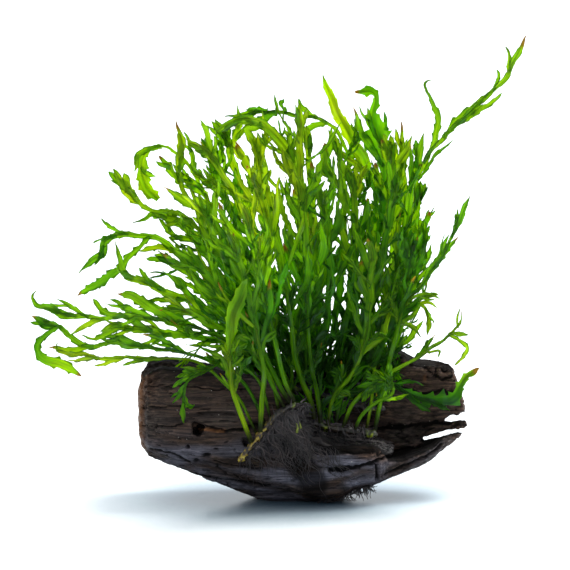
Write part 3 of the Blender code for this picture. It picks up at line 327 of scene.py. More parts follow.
# Blades with a shape of their own: their width in mm at shares of the length
BLADE_WIDTHS = {
    "frond_front_1": ((0, 1.0), (0.5, 1.4), (0.6, 3.2), (0.68, 5.5), (0.8, 7.0), (0.9, 6.0), (0.97, 3.4),
                      (1, 0.4)),
    "frond_back_2": ((0, 1.6), (0.4, 3.0), (0.6, 2.2), (0.75, 1.6), (0.82, 2.0), (0.87, 5.0), (0.96, 6.0),
                     (1, 2.4)),
    "frond_back_9": ((0, 1.5), (0.3, 2.4), (0.6, 3.4), (0.74, 5.0), (0.82, 5.8), (0.9, 4.6), (0.96, 3.2),
                     (1, 0.4)),
    "frond_back_10": ((0, 1.5), (0.5, 3.4), (0.7, 4.5), (0.76, 7.5), (0.8, 10.5), (0.845, 9.5), (0.87, 6.0),
                      (0.885, 3.4), (0.92, 2.8), (0.945, 4.6), (0.97, 3.8), (1, 1.0)),
    "frond_rear_11": ((0, 1.6), (0.3, 2.0), (0.45, 4.5), (0.55, 6.6), (0.72, 7.2), (0.79, 3.8), (0.86, 3.4),
                      (0.92, 4.2), (1, 0.8))}

# How far a blade's own edge is toothed, as a share of its half width
TEETH = 0.18
BLADE_TEETH = {"frond_back_2": 0.42, "frond_back_10": 0.45, "frond_rear_3": 0.3, "frond_rear_11": 0.5,
               "frond_front_8": 0.3, "frond_front_9": 0.35}

# How many lobes a leaf's leaflets have, more or less
LOBES = 0.6
LEAF_LOBES = {"frond_mid_7": 4.0, "frond_front_1": 2.6, "frond_front_3": 2.2, "frond_mid_10": 2.0}

# Extra short leaflets round the top of a stalk, and how many there are on a stalk behind the front ones
CLUMPS = {"frond_front_1": 7, "frond_front_2": 4, "frond_mid_7": 6, "frond_mid_10": 4, "frond_mid_5": 3,
          "frond_front_3": 4}
FILL_LEAFLETS = 9

# Leaflets with looks of their own, by frond and number: width factor, tone and how late they taper
LEAFLET_LOOKS = {("frond_back_13", 0): (0.45, -0.5, 3.0), ("frond_back_13", 1): (0.9, -0.3, 2.2),
                 ("frond_back_13", 2): (0.95, -0.2, 2.0), ("frond_back_10", 0): (1.2, -0.2, 2.4),
                 ("frond_back_10", 1): (1.0, -0.1, 2.4), ("frond_back_10", 2): (0.7, 0.0, 6.0)}
USUAL_LOOKS = (1.1, 0.0, 0)

# A leaflet whose tip curls back
LEAFLET_PATHS = {("frond_back_13", 1): [(58.5, 171.5), (61.5, 177), (63, 182.5), (64.4, 189), (60.8, 197.5),
                                        (57.8, 203.5), (57.2, 206.3), (58.6, 208), (61, 208.2)]}

# A leaflet longer than LONG_LEAFLET, in mm, has no lobes, and one longer than FORKED_LEAFLET may fork
LONG_LEAFLET = 31.0
FORKED_LEAFLET = 16

# The share of the regular leaflets that have none opposite, and the share that are thin threads
SINGLE_SHARE = 0.68
THREAD_SHARE = 0.26

# Leaves that are lighter (above 0) or darker (below 0) than those round them
LEAF_TONES = {"frond_back_2": -0.2, "frond_back_6": -0.5, "frond_rear_4": -0.1, "frond_front_2": 0.35,
              "frond_front_1": 0.7, "frond_mid_4": 0.3, "frond_mid_5": 0.1, "frond_back_1": 0.2,
              "frond_rear_11": -1.0, "frond_mid_11": 0.5, "frond_mid_6": 0.5, "frond_back_9": -0.15,
              "frond_mid_9": 0.3, "frond_back_10": -0.75, "frond_front_9": -0.5}

# Round stalks of the two front rows are lighter by this, painted light from the front
FRONT_LIT_STALK = 0.35

# Withered tips: where they show, and how far the brown reaches
BROWN_TIPS = [((-139.5, 90), 2.8), ((-114, 60.5), 3.5), ((-116.5, 101), 3.2), ((-96.5, 102), 3.2),
              ((-67, 188), 6), ((108, 230), 7), ((84.5, 64), 4.5), ((45.5, 187), 5), ((22.6, 202.6), 2.6)]

# Stretches of the plant whose leaves are lighter and yellower (above 0) or darker (below 0): middle,
# reach, tone. Partly the leaves' own tints, such as yellow tips, and partly painted light: lighter
# high up where light comes through, and painted shade in the dense lower mass
LIGHT_AND_TINT_ZONES = [((-8, 158), 34, 0.55), ((30, 190), 30, 0.25), ((-60, 150), 36, 0.5), ((-25, 182), 22, 0.25),
         ((0, 180), 50, 0.1), ((-8, 118), 34, -0.4), ((-30, 72), 34, -0.35), ((10, 75), 30, -0.55),
         ((-105, 85), 40, 0.5), ((85, 200), 40, 0.2), ((40, 160), 26, 0.1), ((12, 193), 14, 0.7),
         ((62, 88), 22, 0.3), ((-105, 110), 14, -0.35), ((-123, 65), 12, 0.9), ((-93, 156), 13, 0.8),
         ((-62, 178), 10, 0.4), ((80, 60), 9, 1.3)]

# The upper leaves spread: by how much, from which height and over what height
SPREAD = 0.25
SPREAD_FROM = 90
SPREAD_OVER = 100

# Slow waves in the leaves' depth: how deep, how long across and up, and where they start
LEAF_WAVES = ((4.2, 15, 26, 0), (2.4, -30, 13, 1))

# The distance between sections in mm, along a blade and along a round stalk
STEP = 0.92
ROD_STEP = 2.0

# Places round a section, across it and over it: a flat blade with square edges, and a round rod
BLADE_OVER = np.array((-1.0, -0.5, 0.0, 0.5, 1.0, 1.0, 0.0, -1.0))
BLADE_UPPER = np.array((1.0,) * 5 + (-1.0,) * 3)
ROD_TURNS = np.linspace(0, 2 * math.pi, 8, endpoint=False)

# How thick a blade, a leaflet and a lobe are, in mm, and the angle from which an edge is crisp
BLADE_THICKNESS = 0.5
LEAFLET_THICKNESS = 0.45
LOBE_THICKNESS = 0.4
CRISP_EDGE = 62.0

# A blade sways in its own plane and its edge is ruffled, by these distances in mm
SWAY = 0.35
SWAY_PERIOD = (2.2, 4.5)
RUFFLE = 0.4
RUFFLE_PERIOD = 2.3

# The distance in mm between teeth, and between the corners of the uneven margin
TOOTH_PERIOD = (4.5, 9.0)
RAGGED_PERIOD = (1.1, 3.8)

# The streaks of a blade with a shape of its own are broader
BROAD_STREAKS = 0.35

# How far in front of and behind a point a line's heading is taken, in mm
HEADING_REACH = 1.5

# Where a leaf starts, from the middle of its rhizome as a share of the radius, and how far before
# its place on the midrib a leaflet starts, in mm
FOOT_SHARE = 0.4
LEAFLET_ROOT = 5.0


def view_axes():
    """The picture's directions, right, raised and ahead, and the camera's place."""
    right = np.array((1.0, 0.0, 0.0))
    raised = np.array((0.0, math.sin(VIEW_TILT), math.cos(VIEW_TILT)))
    ahead = np.array((0.0, math.cos(VIEW_TILT), -math.sin(VIEW_TILT)))
    eye = VIEW_CENTRE[0] * right + VIEW_CENTRE[1] * raised - VIEW_DISTANCE * ahead
    return right, raised, ahead, eye


RIGHT, RAISED, AHEAD, EYE = view_axes()


def seen_at(spots, deep):
    """The points at given depths that show at (across, up) spots in the picture, in mm."""
    spots = np.asarray(spots, float)
    plane = spots[..., :1] * RIGHT + spots[..., 1:2] * RAISED
    share = (np.asarray(deep, float) - EYE[1]) / (plane[..., 1] - EYE[1])
    return EYE + share[..., None] * (plane - EYE)


def in_picture(points):
    """Where points in mm show, as (across, up)."""
    rays = np.asarray(points, float) - EYE
    share = VIEW_DISTANCE / (rays @ AHEAD)
    spots = EYE + rays * share[..., None]
    return np.stack((spots @ RIGHT, spots @ RAISED), axis=-1)


def smooth(low, high, values):
    """From 0 to 1 as the values go from low to high, with soft ends."""
    share = np.clip((np.asarray(values, float) - low) / (high - low), 0, 1)
    return share * share * (3 - 2 * share)


def nearness(spots, place, reach):
    """1 at a place in the picture, and less the further from it."""
    return np.exp(-(np.linalg.norm(spots - place, axis=-1) / reach) ** 2)


def turned(direction, angle):
    cos, sin = math.cos(angle), math.sin(angle)
    return np.array((cos * direction[0] - sin * direction[1], sin * direction[0] + cos * direction[1]))


def values_at(share, given):
    """The values of a function of the share, or of a plain number."""
    return given(share) if callable(given) else np.full(len(share), float(given))


class Line:
    """A smooth line through points, read by its share of the length."""

    def __init__(self, points, fineness=12):
        knots = np.asarray(points, float)
        ends = np.vstack((2 * knots[0] - knots[1], knots, 2 * knots[-1] - knots[-2]))
        steps = np.linspace(0, 1, fineness, endpoint=False)[:, None]
        runs = []
        for before, start, stop, after in zip(ends, ends[1:], ends[2:], ends[3:]):
            runs.append(0.5 * (2 * start + (stop - before) * steps
                               + (2 * before - 5 * start + 4 * stop - after) * steps ** 2
                               + (3 * start - before - 3 * stop + after) * steps ** 3))
        self.points = np.vstack(runs + [knots[-1:]])
        lengths = np.linalg.norm(np.diff(self.points, axis=0), axis=1)
        self.marks = np.concatenate(((0.0,), np.cumsum(lengths)))
        self.length = self.marks[-1]

    def at(self, share):
        mark = np.clip(share, 0, 1) * self.length
        return np.stack([np.interp(mark, self.marks, axis) for axis in self.points.T], axis=-1)

    def heading(self, share):
        step = HEADING_REACH / self.length
        ahead = self.at(np.asarray(share) + step) - self.at(np.asarray(share) - step)
        return ahead / np.linalg.norm(ahead, axis=-1, keepdims=True)

    def nearest_share(self, point):
        gaps = np.linalg.norm(self.points[:, :len(point)] - point, axis=1)
        return self.marks[gaps.argmin()] / self.length


RHIZOME_LINES = {name: Line(points) for name, points in RHIZOMES.items()}


def leaf_depth(frond, spots):
    """How deep a leaf is at places in the picture: it fans out from its rhizome, and waves slowly."""
    line = RHIZOME_LINES[frond.rhizome]
    spots = np.asarray(spots, float)
    gaps = np.linalg.norm(spots[..., None, :] - line.points[:, :2], axis=-1)
    start = line.points[gaps.argmin(-1), 2] + frond.row
    fan = np.clip((gaps.min(-1) - RHIZOME_RADIUS) / FAN_REACH[frond.rhizome], 0, 1) ** FAN_POWER
    across, up = spots[..., 0], spots[..., 1]
    spread = 1 + SPREAD * np.clip((up - SPREAD_FROM) / SPREAD_OVER, 0, 1)
    wave = sum(deep * np.sin(across / wide + up / high + begin) for deep, wide, high, begin in LEAF_WAVES)
    return (start + (frond.depth - start) * fan) * spread + wave * fan


def leaf_line(frond):
    """The midrib, from the side of the rhizome to the tip."""
    bottom = RHIZOME_LINES[frond.rhizome]
    share = np.interp(frond.root, bottom.points[:, 0], bottom.marks / bottom.length)
    root = bottom.at(share)[:2]
    leave = np.subtract(frond.line[0], root)
    foot = root + leave / np.linalg.norm(leave) * FOOT_SHARE * RHIZOME_RADIUS
    return Line([tuple(foot)] + frond.line)


def tube_faces(first, sections, ring, flipped=False):
    """The faces of a closed tube: four corners each round its sides, and a cap at both ends."""
    faces = []
    for section in range(sections):
        low = first + section * ring
        for place in range(ring):
            after = (place + 1) % ring
            side = (low + place, low + after, low + ring + after, low + ring + place)
            faces.append(side[:1] + side[:0:-1] if flipped else side)
    last = first + sections * ring
    caps = [tuple(range(first + ring - 1, first - 1, -1)), tuple(range(last, last + ring))]
    return faces + [cap[::-1] if flipped else cap for cap in caps]


def ring_points(centre, radius, side, over, turns):
    """Points round each place of a line, by turns from one direction across it to the other."""
    return centre[:, None, :] + radius[..., None] * (np.cos(turns)[None, :, None] * side[:, None, :]
                                                     + np.sin(turns)[None, :, None] * over[:, None, :])


def add_object(name, data):
    thing = bpy.data.objects.new(name, data)
    bpy.context.scene.collection.objects.link(thing)
    return thing


def dress(name, mesh, material, crisp=180.0):
    """An object of a mesh, shaded smooth but for the edges sharper than an angle in degrees."""
    mesh.materials.append(material)
    mesh.polygons.foreach_set("use_smooth", [True] * len(mesh.polygons))
    mesh.set_sharp_from_angle(angle=math.radians(crisp))
    mesh.update()
    return add_object(name, mesh)


def declare(piece, node):
    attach(piece, "root")
    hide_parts(node)


class Leaf:
    """One frond's mesh, made of closed straps: its midrib and its leaflets.

    Each point has its place on its strap for the material, in "grain": how far across and along it
    is, and the half width there. Its "tone" is how light and how brown it is, the lightness partly
    painted light and shade, and its share of the length, with 1 more on a blade.
    """

    def __init__(self, frond, chance):
        self.frond = frond
        self.chance = chance
        self.points, self.faces, self.grains, self.tones = [], [], [], []
        self.count = 0

    def strap(self, line, half_width, thickness, lift=0.0, roll=0.0, fold=0.1, teeth=0.0, tone=0.0,
              rod=False, dry=0.0, plain=False):
        """A flat strap along a line in the picture, or a rod.

        half_width, thickness, lift and roll are functions of the share along it, or plain numbers.
        fold is how far its sides bend back, and teeth how far its edges are toothed, as shares of
        the half width. tone makes it lighter, dry makes its end brown, and a plain strap has broad
        streaks and no darker margin.
        """
        chance = self.chance
        over, upper = (-np.cos(ROD_TURNS), np.sin(ROD_TURNS)) if rod else (BLADE_OVER, BLADE_UPPER)
        sections = max(5, round(line.length / (ROD_STEP if rod else STEP)))
        share = np.linspace(0, 1, sections + 1)
        along = share * line.length
        centre = line.at(share)
        heading = line.heading(share)
        out = np.stack((-heading[:, 1], heading[:, 0]), axis=-1)
        if not rod:
            sway = np.sin(along / chance.uniform(*SWAY_PERIOD) + chance.uniform(0, 6))
            centre = centre + SWAY * (sway * smooth(0, 0.3, share))[:, None] * out
        half, thick, raised, rolled = (values_at(share, given)
                                       for given in (half_width, thickness, lift, roll))
        left = self.toothed(along, half, teeth)
        right = self.toothed(along, half, teeth)
        width = np.where(over < 0, left[:, None], right[:, None])
        lateral = over * width
        ruffle = RUFFLE * np.sin(along / RUFFLE_PERIOD + chance.uniform(0, 6))[:, None] * over ** 3
        depth = -fold * width * np.abs(over) ** 1.5 + ruffle * (teeth > 0) + upper * thick[:, None] / -2
        cos, sin = np.cos(rolled)[:, None], np.sin(rolled)[:, None]
        sideways = lateral * cos - depth * sin
        behind = lateral * sin + depth * cos
        spots = centre[:, None, :] + sideways[..., None] * out[:, None, :]
        points = seen_at(spots, leaf_depth(self.frond, spots) + behind + raised[:, None])
        along = along + chance.uniform(0, 400)
        grain = np.stack((lateral * (BROAD_STREAKS if plain else 1),
                          np.broadcast_to(along[:, None], lateral.shape),
                          np.broadcast_to(half[:, None] + (1 if plain else 0), lateral.shape)), axis=-1)
        self.faces += tube_faces(self.count, sections, len(over))
        self.points.append(points.reshape(-1, 3))
        self.grains.append(grain.reshape(-1, 3))
        self.tones.append(self.tones_at(spots, share, tone, dry, rod).reshape(-1, 4))
        self.count += len(self.points[-1])

    def tones_at(self, spots, share, tone, dry, rod):
        shape = spots.shape[:2]
        brown = dry * smooth(0.72, 0.98, share)[:, None] * np.ones(shape)
        for place, reach in BROWN_TIPS:
            near = nearness(spots, place, reach)
            brown = np.maximum(brown, near * smooth(0.4, 0.75, share)[:, None])
        zone = np.zeros(shape)
        # Painted light and shade: leaves lighter high up and darker in the lower mass, mixed with their own
        # tints
        for place, reach, amount in LIGHT_AND_TINT_ZONES:
            zone += amount * nearness(spots, place, reach)
        light = 0.5 + 0.5 * np.clip(zone + tone, -1, 1)
        length = np.broadcast_to(share[:, None] + (0 if rod else 1), shape)
        return np.stack((light, brown, length, np.ones(shape)), axis=-1)

    def toothed(self, along, half, teeth):
        """The half width along one side, with rounded teeth and an uneven margin."""
        period = self.chance.uniform(*TOOTH_PERIOD)
        bite = ((along / period + self.chance.random()) % 1.0) ** 2.2
        return half * (1 + teeth * (1.6 * bite - 0.45) + 0.7 * teeth * self.ragged(along))

    def ragged(self, along):
        """An uneven margin: corners at uneven distances along it, in or out by up to 1."""
        places, levels = [-4.0], [0.0]
        while places[-1] < along[-1]:
            places.append(places[-1] + self.chance.uniform(*RAGGED_PERIOD))
            levels.append(self.chance.uniform(-1, 1))
        return np.interp(along, places, levels)

    def finish(self, name, material):
        mesh = bpy.data.meshes.new(name)
        points = np.vstack(self.points) * MM
        mesh.from_pydata(points.tolist(), [], self.faces)
        grain = mesh.attributes.new("grain", "FLOAT_VECTOR", "POINT")
        grain.data.foreach_set("vector", np.vstack(self.grains).ravel())
        tone = mesh.attributes.new("tone", "FLOAT_COLOR", "POINT")
        tone.data.foreach_set("color", np.vstack(self.tones).ravel())
        return dress(name, mesh, material, CRISP_EDGE)


@dataclass
class Leaflet:
    """One leaflet: where it leaves the midrib, its width and middle line, and its looks.

    tone makes it lighter, lobes is how many it has, more or less, and taper is how late it narrows.
    """
    share: float
    width: float
    points: list
    tone: float
    lobes: float
    taper: float = 0


def leaflet_from(line, share, side, reach, angle, straightening, width, tone, lobes):
    """A leaflet that leaves the midrib at an angle and then turns towards its heading, or away."""
    heading, foot = line.heading(share), line.at(share)
    middle = foot + turned(heading, side * angle) * reach * 0.5
    tip = middle + turned(heading, side * angle * (1 - straightening)) * reach * 0.5
    return Leaflet(share, width, [foot, middle, tip], tone, lobes)


def regular_leaflets(frond, line, chance):
    """Leaflets on both sides by turns, some with another opposite, and some of them thin threads."""
    count, longest, start, end = frond.pairs
    for number in range(count):
        share = start + (number + 0.5) * (end - start) / count
        length = longest * (1.05 - 0.35 * (number / count) ** 1.5)
        for opposite in (False, True):
            if opposite and chance.random() < SINGLE_SHARE:
                continue
            side = 1 if (number % 2 == 1) != opposite else -1
            place = share + opposite * chance.uniform(0.2, 0.7) * (end - start) / count
            reach = length * (chance.uniform(0.85, 1.15), chance.uniform(0.5, 0.9))[opposite]
            thread = chance.random() < THREAD_SHARE
            angle = LEAFLET_ANGLE * chance.uniform(0.75, 1.3)
            straightening = chance.uniform(0.3, 1.1)
            if thread:
                yield leaflet_from(line, place, side, reach * 1.15, angle * 1.5, straightening,
                                   LEAFLET_WIDTH * 0.4, -0.5, 2.0)
            else:
                yield leaflet_from(line, place, side, reach, angle, straightening,
                                   LEAFLET_WIDTH * (0.75 if opposite else 1), 0.0, 1.0)


def feet_of(name, frond, line, chance):
    """A leaf's leaflets: its own ones, the regular ones, and short ones on a stalk that stands behind."""
    feet = []
    for number, (width, *points) in enumerate(frond.leaflets):
        factor, tone, taper = LEAFLET_LOOKS.get((name, number), USUAL_LOOKS)
        points = LEAFLET_PATHS.get((name, number), points)
        share = line.nearest_share(points[0])
        feet.append(Leaflet(share, width * factor, points, tone, LEAF_LOBES.get(name, LOBES), taper))
    if not frond.pairs:
        return feet
    feet += regular_leaflets(frond, line, chance)
    if frond.rhizome != "front":
        for number in range(FILL_LEAFLETS):
            place = frond.stalk * (0.12 + 1.25 * number / FILL_LEAFLETS)
            feet.append(leaflet_from(line, place, chance.choice((-1, 1)), chance.uniform(6, 17),
                                     math.radians(chance.uniform(18, 75)), chance.uniform(-0.9, 1.4),
                                     chance.uniform(1.3, 2.6), -0.3, 3.5))
    return feet


def blade_shape(widest, base=0.75, crest=0.35, point=5.0):
    """The half width along a leaflet: narrower at its base, then even, and pointed or blunt."""
    def half(share):
        rise = base + (1 - base) * smooth(0, crest, share)
        return widest / 2 * rise * np.clip(1 - np.clip(share, 0, 1) ** point, 0.02, 1)
    return half


def make_leaflet(leaf, path, width, tone, lobes, taper):
    """A leaflet, bent and turned out of the leaf's plane, with spurs or a fork along its sides."""
    chance = leaf.chance
    lifted = chance.uniform(-0.2, 0.2)
    turn = chance.gauss(0, 0.4)
    reach = path.length
    shape = blade_shape(width, point=chance.choice((3, 5, 9)))
    if reach > LONG_LEAFLET:
        lobes = 0
        shape = blade_shape(width * 1.2, base=0.4, crest=0.75, point=7.0)
        if leaf.frond.slim:
            shape = blade_shape(width * 1.5, base=0.5, crest=0.35, point=1.8)
    if taper:
        shape = blade_shape(width * 1.3, base=0.35, crest=0.45, point=taper)
    leaf.strap(path, shape, LEAFLET_THICKNESS,
               lift=lambda share: lifted * reach * share ** 1.5,
               roll=lambda share: turn * smooth(0.15, 0.9, share),
               fold=chance.uniform(-0.12, 0.25), teeth=chance.uniform(0.22, 0.55), tone=tone,
               dry=0.9 * (chance.random() < 0.1))
    side = chance.choice((-1, 1))
    for number in range(lobes):
        share = 0.35 + 0.5 * (number + chance.uniform(0, 0.9)) / lobes
        side = -side if chance.random() < 0.8 else side
        forked = number == 0 and reach > FORKED_LEAFLET
        heading = path.heading(share)
        foot = path.at(share) - heading * 2.5
        length = chance.uniform(7, 12) if forked else chance.uniform(3.5, 5.5)
        ahead = turned(heading, side * math.radians(chance.uniform(20, 34)))
        tip = foot + ahead * length * 0.6 + turned(ahead, -side * 0.4) * length * 0.4
        lobe = Line([tuple(foot), tuple(foot + ahead * length * 0.55), tuple(tip)], 6)
        base = lifted * reach * share ** 1.5
        slope = lifted * 1.5 * share ** 0.5
        wide = width * 0.7 if forked else min(width, chance.uniform(1.3, 2.0))
        leaf.strap(lobe, blade_shape(wide, base=0.9, point=4.0), LOBE_THICKNESS,
                   lift=lambda share: base + slope * share * length, teeth=0.12, tone=tone)


def midrib_shapes(name, frond, line, last, beat):
    """The half width of a leaf's round stalk, and of the blade along its midrib, by the share."""
    stalk = ROUND_STALK * STALK_WIDTHS.get(name, STALK_WIDTH * (SLIM_STALK if frond.slim else 1))
    wing = WING_WIDTHS.get(name, WING_WIDTH * (SLIM_WING if frond.slim else 1))
    end = frond.tip_width * 1.1

    def rib(share):
        return stalk / 2 * (1 - smooth(frond.stalk * 0.7, frond.stalk * 1.4 + 0.1, share)) + 0.2 * share

    def own_blade(share):
        return np.interp(share, *zip(*BLADE_WIDTHS[name])) / 2

    def blade(share):
        opening = smooth(frond.stalk * 0.85, frond.stalk * 1.25, share)
        winged = wing * (1 + 0.12 * np.sin(share * line.length / 4.5 + beat))
        width = stalk * 0.4 + (winged - stalk * 0.4) * opening
        tip = smooth(last, min(0.98, last + 0.45 * (1 - last)), share)
        width = width + (end - width) * tip
        ending = np.clip((share - last) / (1 - last), 0, 1)
        return width / 2 * np.clip(1 - ending ** 3.5, 0.02, 1)

    return rib, own_blade if name in BLADE_WIDTHS else blade


def make_leaf(name, frond, material):
    chance = random.Random(name)
    leaf = Leaf(frond, chance)
    line = leaf_line(frond)
    feet = feet_of(name, frond, line, chance)
    last = min(max([leaflet.share for leaflet in feet], default=frond.stalk), 0.9)
    beat = chance.uniform(0, 6)
    rib, blade = midrib_shapes(name, frond, line, last, beat)
    tone = LEAF_TONES.get(name, chance.gauss(0.02, 0.22))
    curl = chance.uniform(-0.45, 0.45)

    def roll(share):
        return curl * smooth(frond.stalk, 1, share) * np.sin(share * 5 + beat)

    # Painted front light: the round stalks of the two front rows are lighter
    fresh = 0.0 if frond.rhizome in ("rear", "back") else FRONT_LIT_STALK
    plain = name in BLADE_WIDTHS
    leaf.strap(line, rib, lambda share: 2 * rib(share), fold=0.0, tone=tone + fresh, rod=True)
    leaf.strap(line, blade, BLADE_THICKNESS, roll=roll, fold=0.08, teeth=BLADE_TEETH.get(name, TEETH),
               tone=tone, plain=plain)
    if not (frond.slim or plain):
        for number, side in enumerate((-1, 1)):
            place = last + (1 - last) * (0.2 + 0.3 * number)
            feet.append(leaflet_from(line, place, side, chance.uniform(6, 10),
                                     math.radians(chance.uniform(20, 32)), 0.5, 2.8, 0.0, 1.0))
    for _ in range(CLUMPS.get(name, 0)):
        feet.append(leaflet_from(line, frond.stalk * chance.uniform(0.75, 1.35), chance.choice((-1, 1)),
                                 chance.uniform(7, 13), math.radians(chance.uniform(25, 80)),
                                 chance.uniform(-0.8, 1.2), chance.uniform(1.8, 3.0), 0.2, 3.0))
    for leaflet in feet:
        back = line.at(max(0.0, leaflet.share - LEAFLET_ROOT / line.length))
        path = Line([tuple(back)] + [tuple(point) for point in leaflet.points[1:]])
        lobes = int(path.length / 10.0 * chance.uniform(0.2, 1.6) * leaflet.lobes)
        broader_above = np.interp(leaflet.points[0][1], (70, 150), (0.88, 1.14))
        width = leaflet.width * (chance.uniform(0.7, 1.15) * broader_above)
        shade = tone + leaflet.tone + chance.gauss(0, 0.3)
        make_leaflet(leaf, path, width, shade, lobes, leaflet.taper)
    declare(leaf.finish(name.replace("frond", "leaf"), material), name)


def fine_copy(node, size):
    """A solid's surface as an even fine mesh, with its points in mm and their normals."""
    shape = add_object("fine", bpy.data.objects[node].data.copy())
    remesh = shape.modifiers.new("even", "REMESH")
    remesh.mode = "VOXEL"
    remesh.voxel_size = size * MM
    mesh = bpy.data.meshes.new_from_object(shape.evaluated_get(bpy.context.evaluated_depsgraph_get()))
    bpy.data.objects.remove(shape)
    mesh.materials.clear()
    count = len(mesh.vertices)
    points, normals = np.empty(count * 3), np.empty(count * 3)
    mesh.vertices.foreach_get("co", points)
    mesh.vertex_normals.foreach_get("vector", normals)
    return mesh, points.reshape(-1, 3) / MM, normals.reshape(-1, 3)


def field_of(points, stretch, seed=0.0, octaves=2):
    """Noise over points, with the given wavelengths in mm along X, Y and Z."""
    scaled = points / stretch + seed
    return np.array([noise.fractal(Vector(point), 1.0, 2.1, octaves) for point in scaled])


def paint(mesh, name, values):
    layer = mesh.attributes.new(name, "FLOAT", "POINT")
    layer.data.foreach_set("value", np.asarray(values, float))


# How fine the meshes of the log and of the roots in its hollow are, in mm
LOG_FINENESS = 0.8
MASS_FINENESS = 1.0

# Pits and knots on the faces of the log that are seen: spot, radius along and up, how deep
PITS = [((60, 25.5), 2.2, 1.6, 0.8), ((-61, 25), 1.6, 1.6, 1.5), ((-51.5, 21), 3.4, 1.6, 1.3),
        ((-57, 18), 2.0, 1.6, 1.0), ((67, 63.5), 2.2, 2.2, 3.2), ((58.5, 60), 1.2, 1.0, 0.8),
        ((-47, 24), 2.2, 1.2, 1.1), ((-56.5, 32.5), 1.5, 2.6, 1.5)]

# Cracks and steps between the layers: points, half width, how deep
CRACKS = [([(-56, 35.5), (-50, 34.6), (-42, 33.2), (-34, 34), (-24, 36.5)], 0.8, 1.6),
          ([(37, 19), (30, 16.5), (22, 14.5), (10, 13.5)], 0.9, 2.6),
          ([(33.5, 15), (33.8, 9), (33, 4.5)], 0.8, 2.4),
          ([(5, 25), (14, 24.5), (22, 22), (30, 21.5)], 0.6, 1.2),
          ([(31, 34.5), (45, 35.2), (60, 36.5), (70, 37.5)], 1.1, 2.2),
          ([(38, 11), (48, 15.5), (58, 20), (66, 26)], 0.8, 1.3),
          ([(34, 21), (46, 24), (56, 26.5)], 0.7, 1.4),
          ([(46, 55), (56, 52), (66, 53), (74, 51)], 0.8, 1.2),
          ([(50, 66), (58, 64.5), (63, 60)], 0.7, 1.0),
          ([(63.5, 66.5), (70.5, 66), (71.5, 60.5), (66, 58.5), (62.5, 62), (63.5, 66.5)], 0.7, 0.9),
          ([(-80, 24), (-68, 21.5), (-60, 17)], 0.6, 0.8),
          ([(-84, 44), (-70, 45.5), (-50, 44)], 0.5, 0.7),
          ([(-83, 55), (-66, 56), (-48, 53.5), (-30, 54)], 0.5, 0.7),
          ([(-60, 12), (-40, 8), (-20, 5)], 0.6, 0.8),
          ([(-84, 36), (-74, 35), (-64, 36)], 0.5, 0.6),
          ([(-48, 18), (-36, 15), (-24, 14)], 0.5, 0.7)]

# Lines on the log: where the roots fan out over it, with painted shade under them, and a thin sliver of
# bare wood
SHADE_UNDER_FAN = [(-9, 42), (-12, 30), (2, 6)]
SLIVER = [(-56, 34), (-49, 33.4), (-43, 33)]

# A fleck of bare wood on the knot: its place, and its radius across and up
FLECK = ((57.5, 59.5), 1.3, 2.2)

# The place of the pale tongue in front
TONGUE = (34, 23)

# The log's front faces, which the pits and cracks are in, are less deep than this
FRONT_DEPTH = 34

# Where looks of the log change, from one place to another: its rusty rim, its crumbly right end,
# the crust on its top left, its bare right top, and the grey sheen painted low on its front, a painted
# reflection of the pale floor
LEFT_RIM = (-84.5, -80.5)
RIGHT_END = (62, 76)
CRUST_ACROSS = (-82, -72)
CRUST_UP = (52, 64)
BARE_ACROSS = (30, 60)
BARE_UP = (38, 60)
PAINTED_SHEEN_UP = (18, 36)
PAINTED_SHEEN_ACROSS = (30, 44)


def gap_to(spots, points):
    """The distance from spots to a bent line, both flat."""
    nearest = np.full(len(spots), 1e9)
    for start, stop in zip(np.asarray(points, float), np.asarray(points[1:], float)):
        run = stop - start
        share = np.clip((spots - start) @ run / (run @ run), 0, 1)
        nearest = np.minimum(nearest, np.linalg.norm(spots - start - share[:, None] * run, axis=1))
    return nearest


def oval_gap(spots, place, wide, high):
    """How far spots are from a place, in the radii of an oval round it."""
    return np.hypot((spots[:, 0] - place[0]) / wide, (spots[:, 1] - place[1]) / high)


def dents(points, spots):
    """The pits and cracks: how much of each hollow lies at the points, from 0 to 1, and its depth in mm."""
    for place, wide, high, depth in PITS:
        yield 1 - smooth(0.3, 1.1, oval_gap(spots, place, wide, high)), depth
    wobble = 0.9 * field_of(points, (5, 5, 5), 31.0)
    bent = spots + np.stack((0 * wobble, wobble), axis=-1)
    for line, half_width, depth in CRACKS:
        yield 1 - smooth(0.4 * half_width, 1.5 * half_width, gap_to(bent, line)), depth


def grain_height(points, right, crust):
    """How far the layered grain stands out, in mm: ridges, waves, cracks and crumbs."""
    bend = np.stack((np.zeros(len(points)), field_of(points, (34, 30, 30), 3.1),
                     field_of(points, (30, 30, 30), 7.7)), axis=-1)
    warped = points + 3.0 * bend
    ridges = field_of(warped, (26, 1.9, 1.9))
    waves = field_of(warped, (40, 7, 7), 11.0)
    layers = np.abs(field_of(warped, (46, 5.2, 5.2), 23.0))
    crack = 1 - smooth(0.0, 0.07, layers)
    crumbs = field_of(points, (2.2, 2.2, 2.2), 5.0)
    return 0.4 * ridges + 0.75 * waves - 0.9 * crack + (0.25 + 0.7 * crust + 0.8 * right) * crumbs


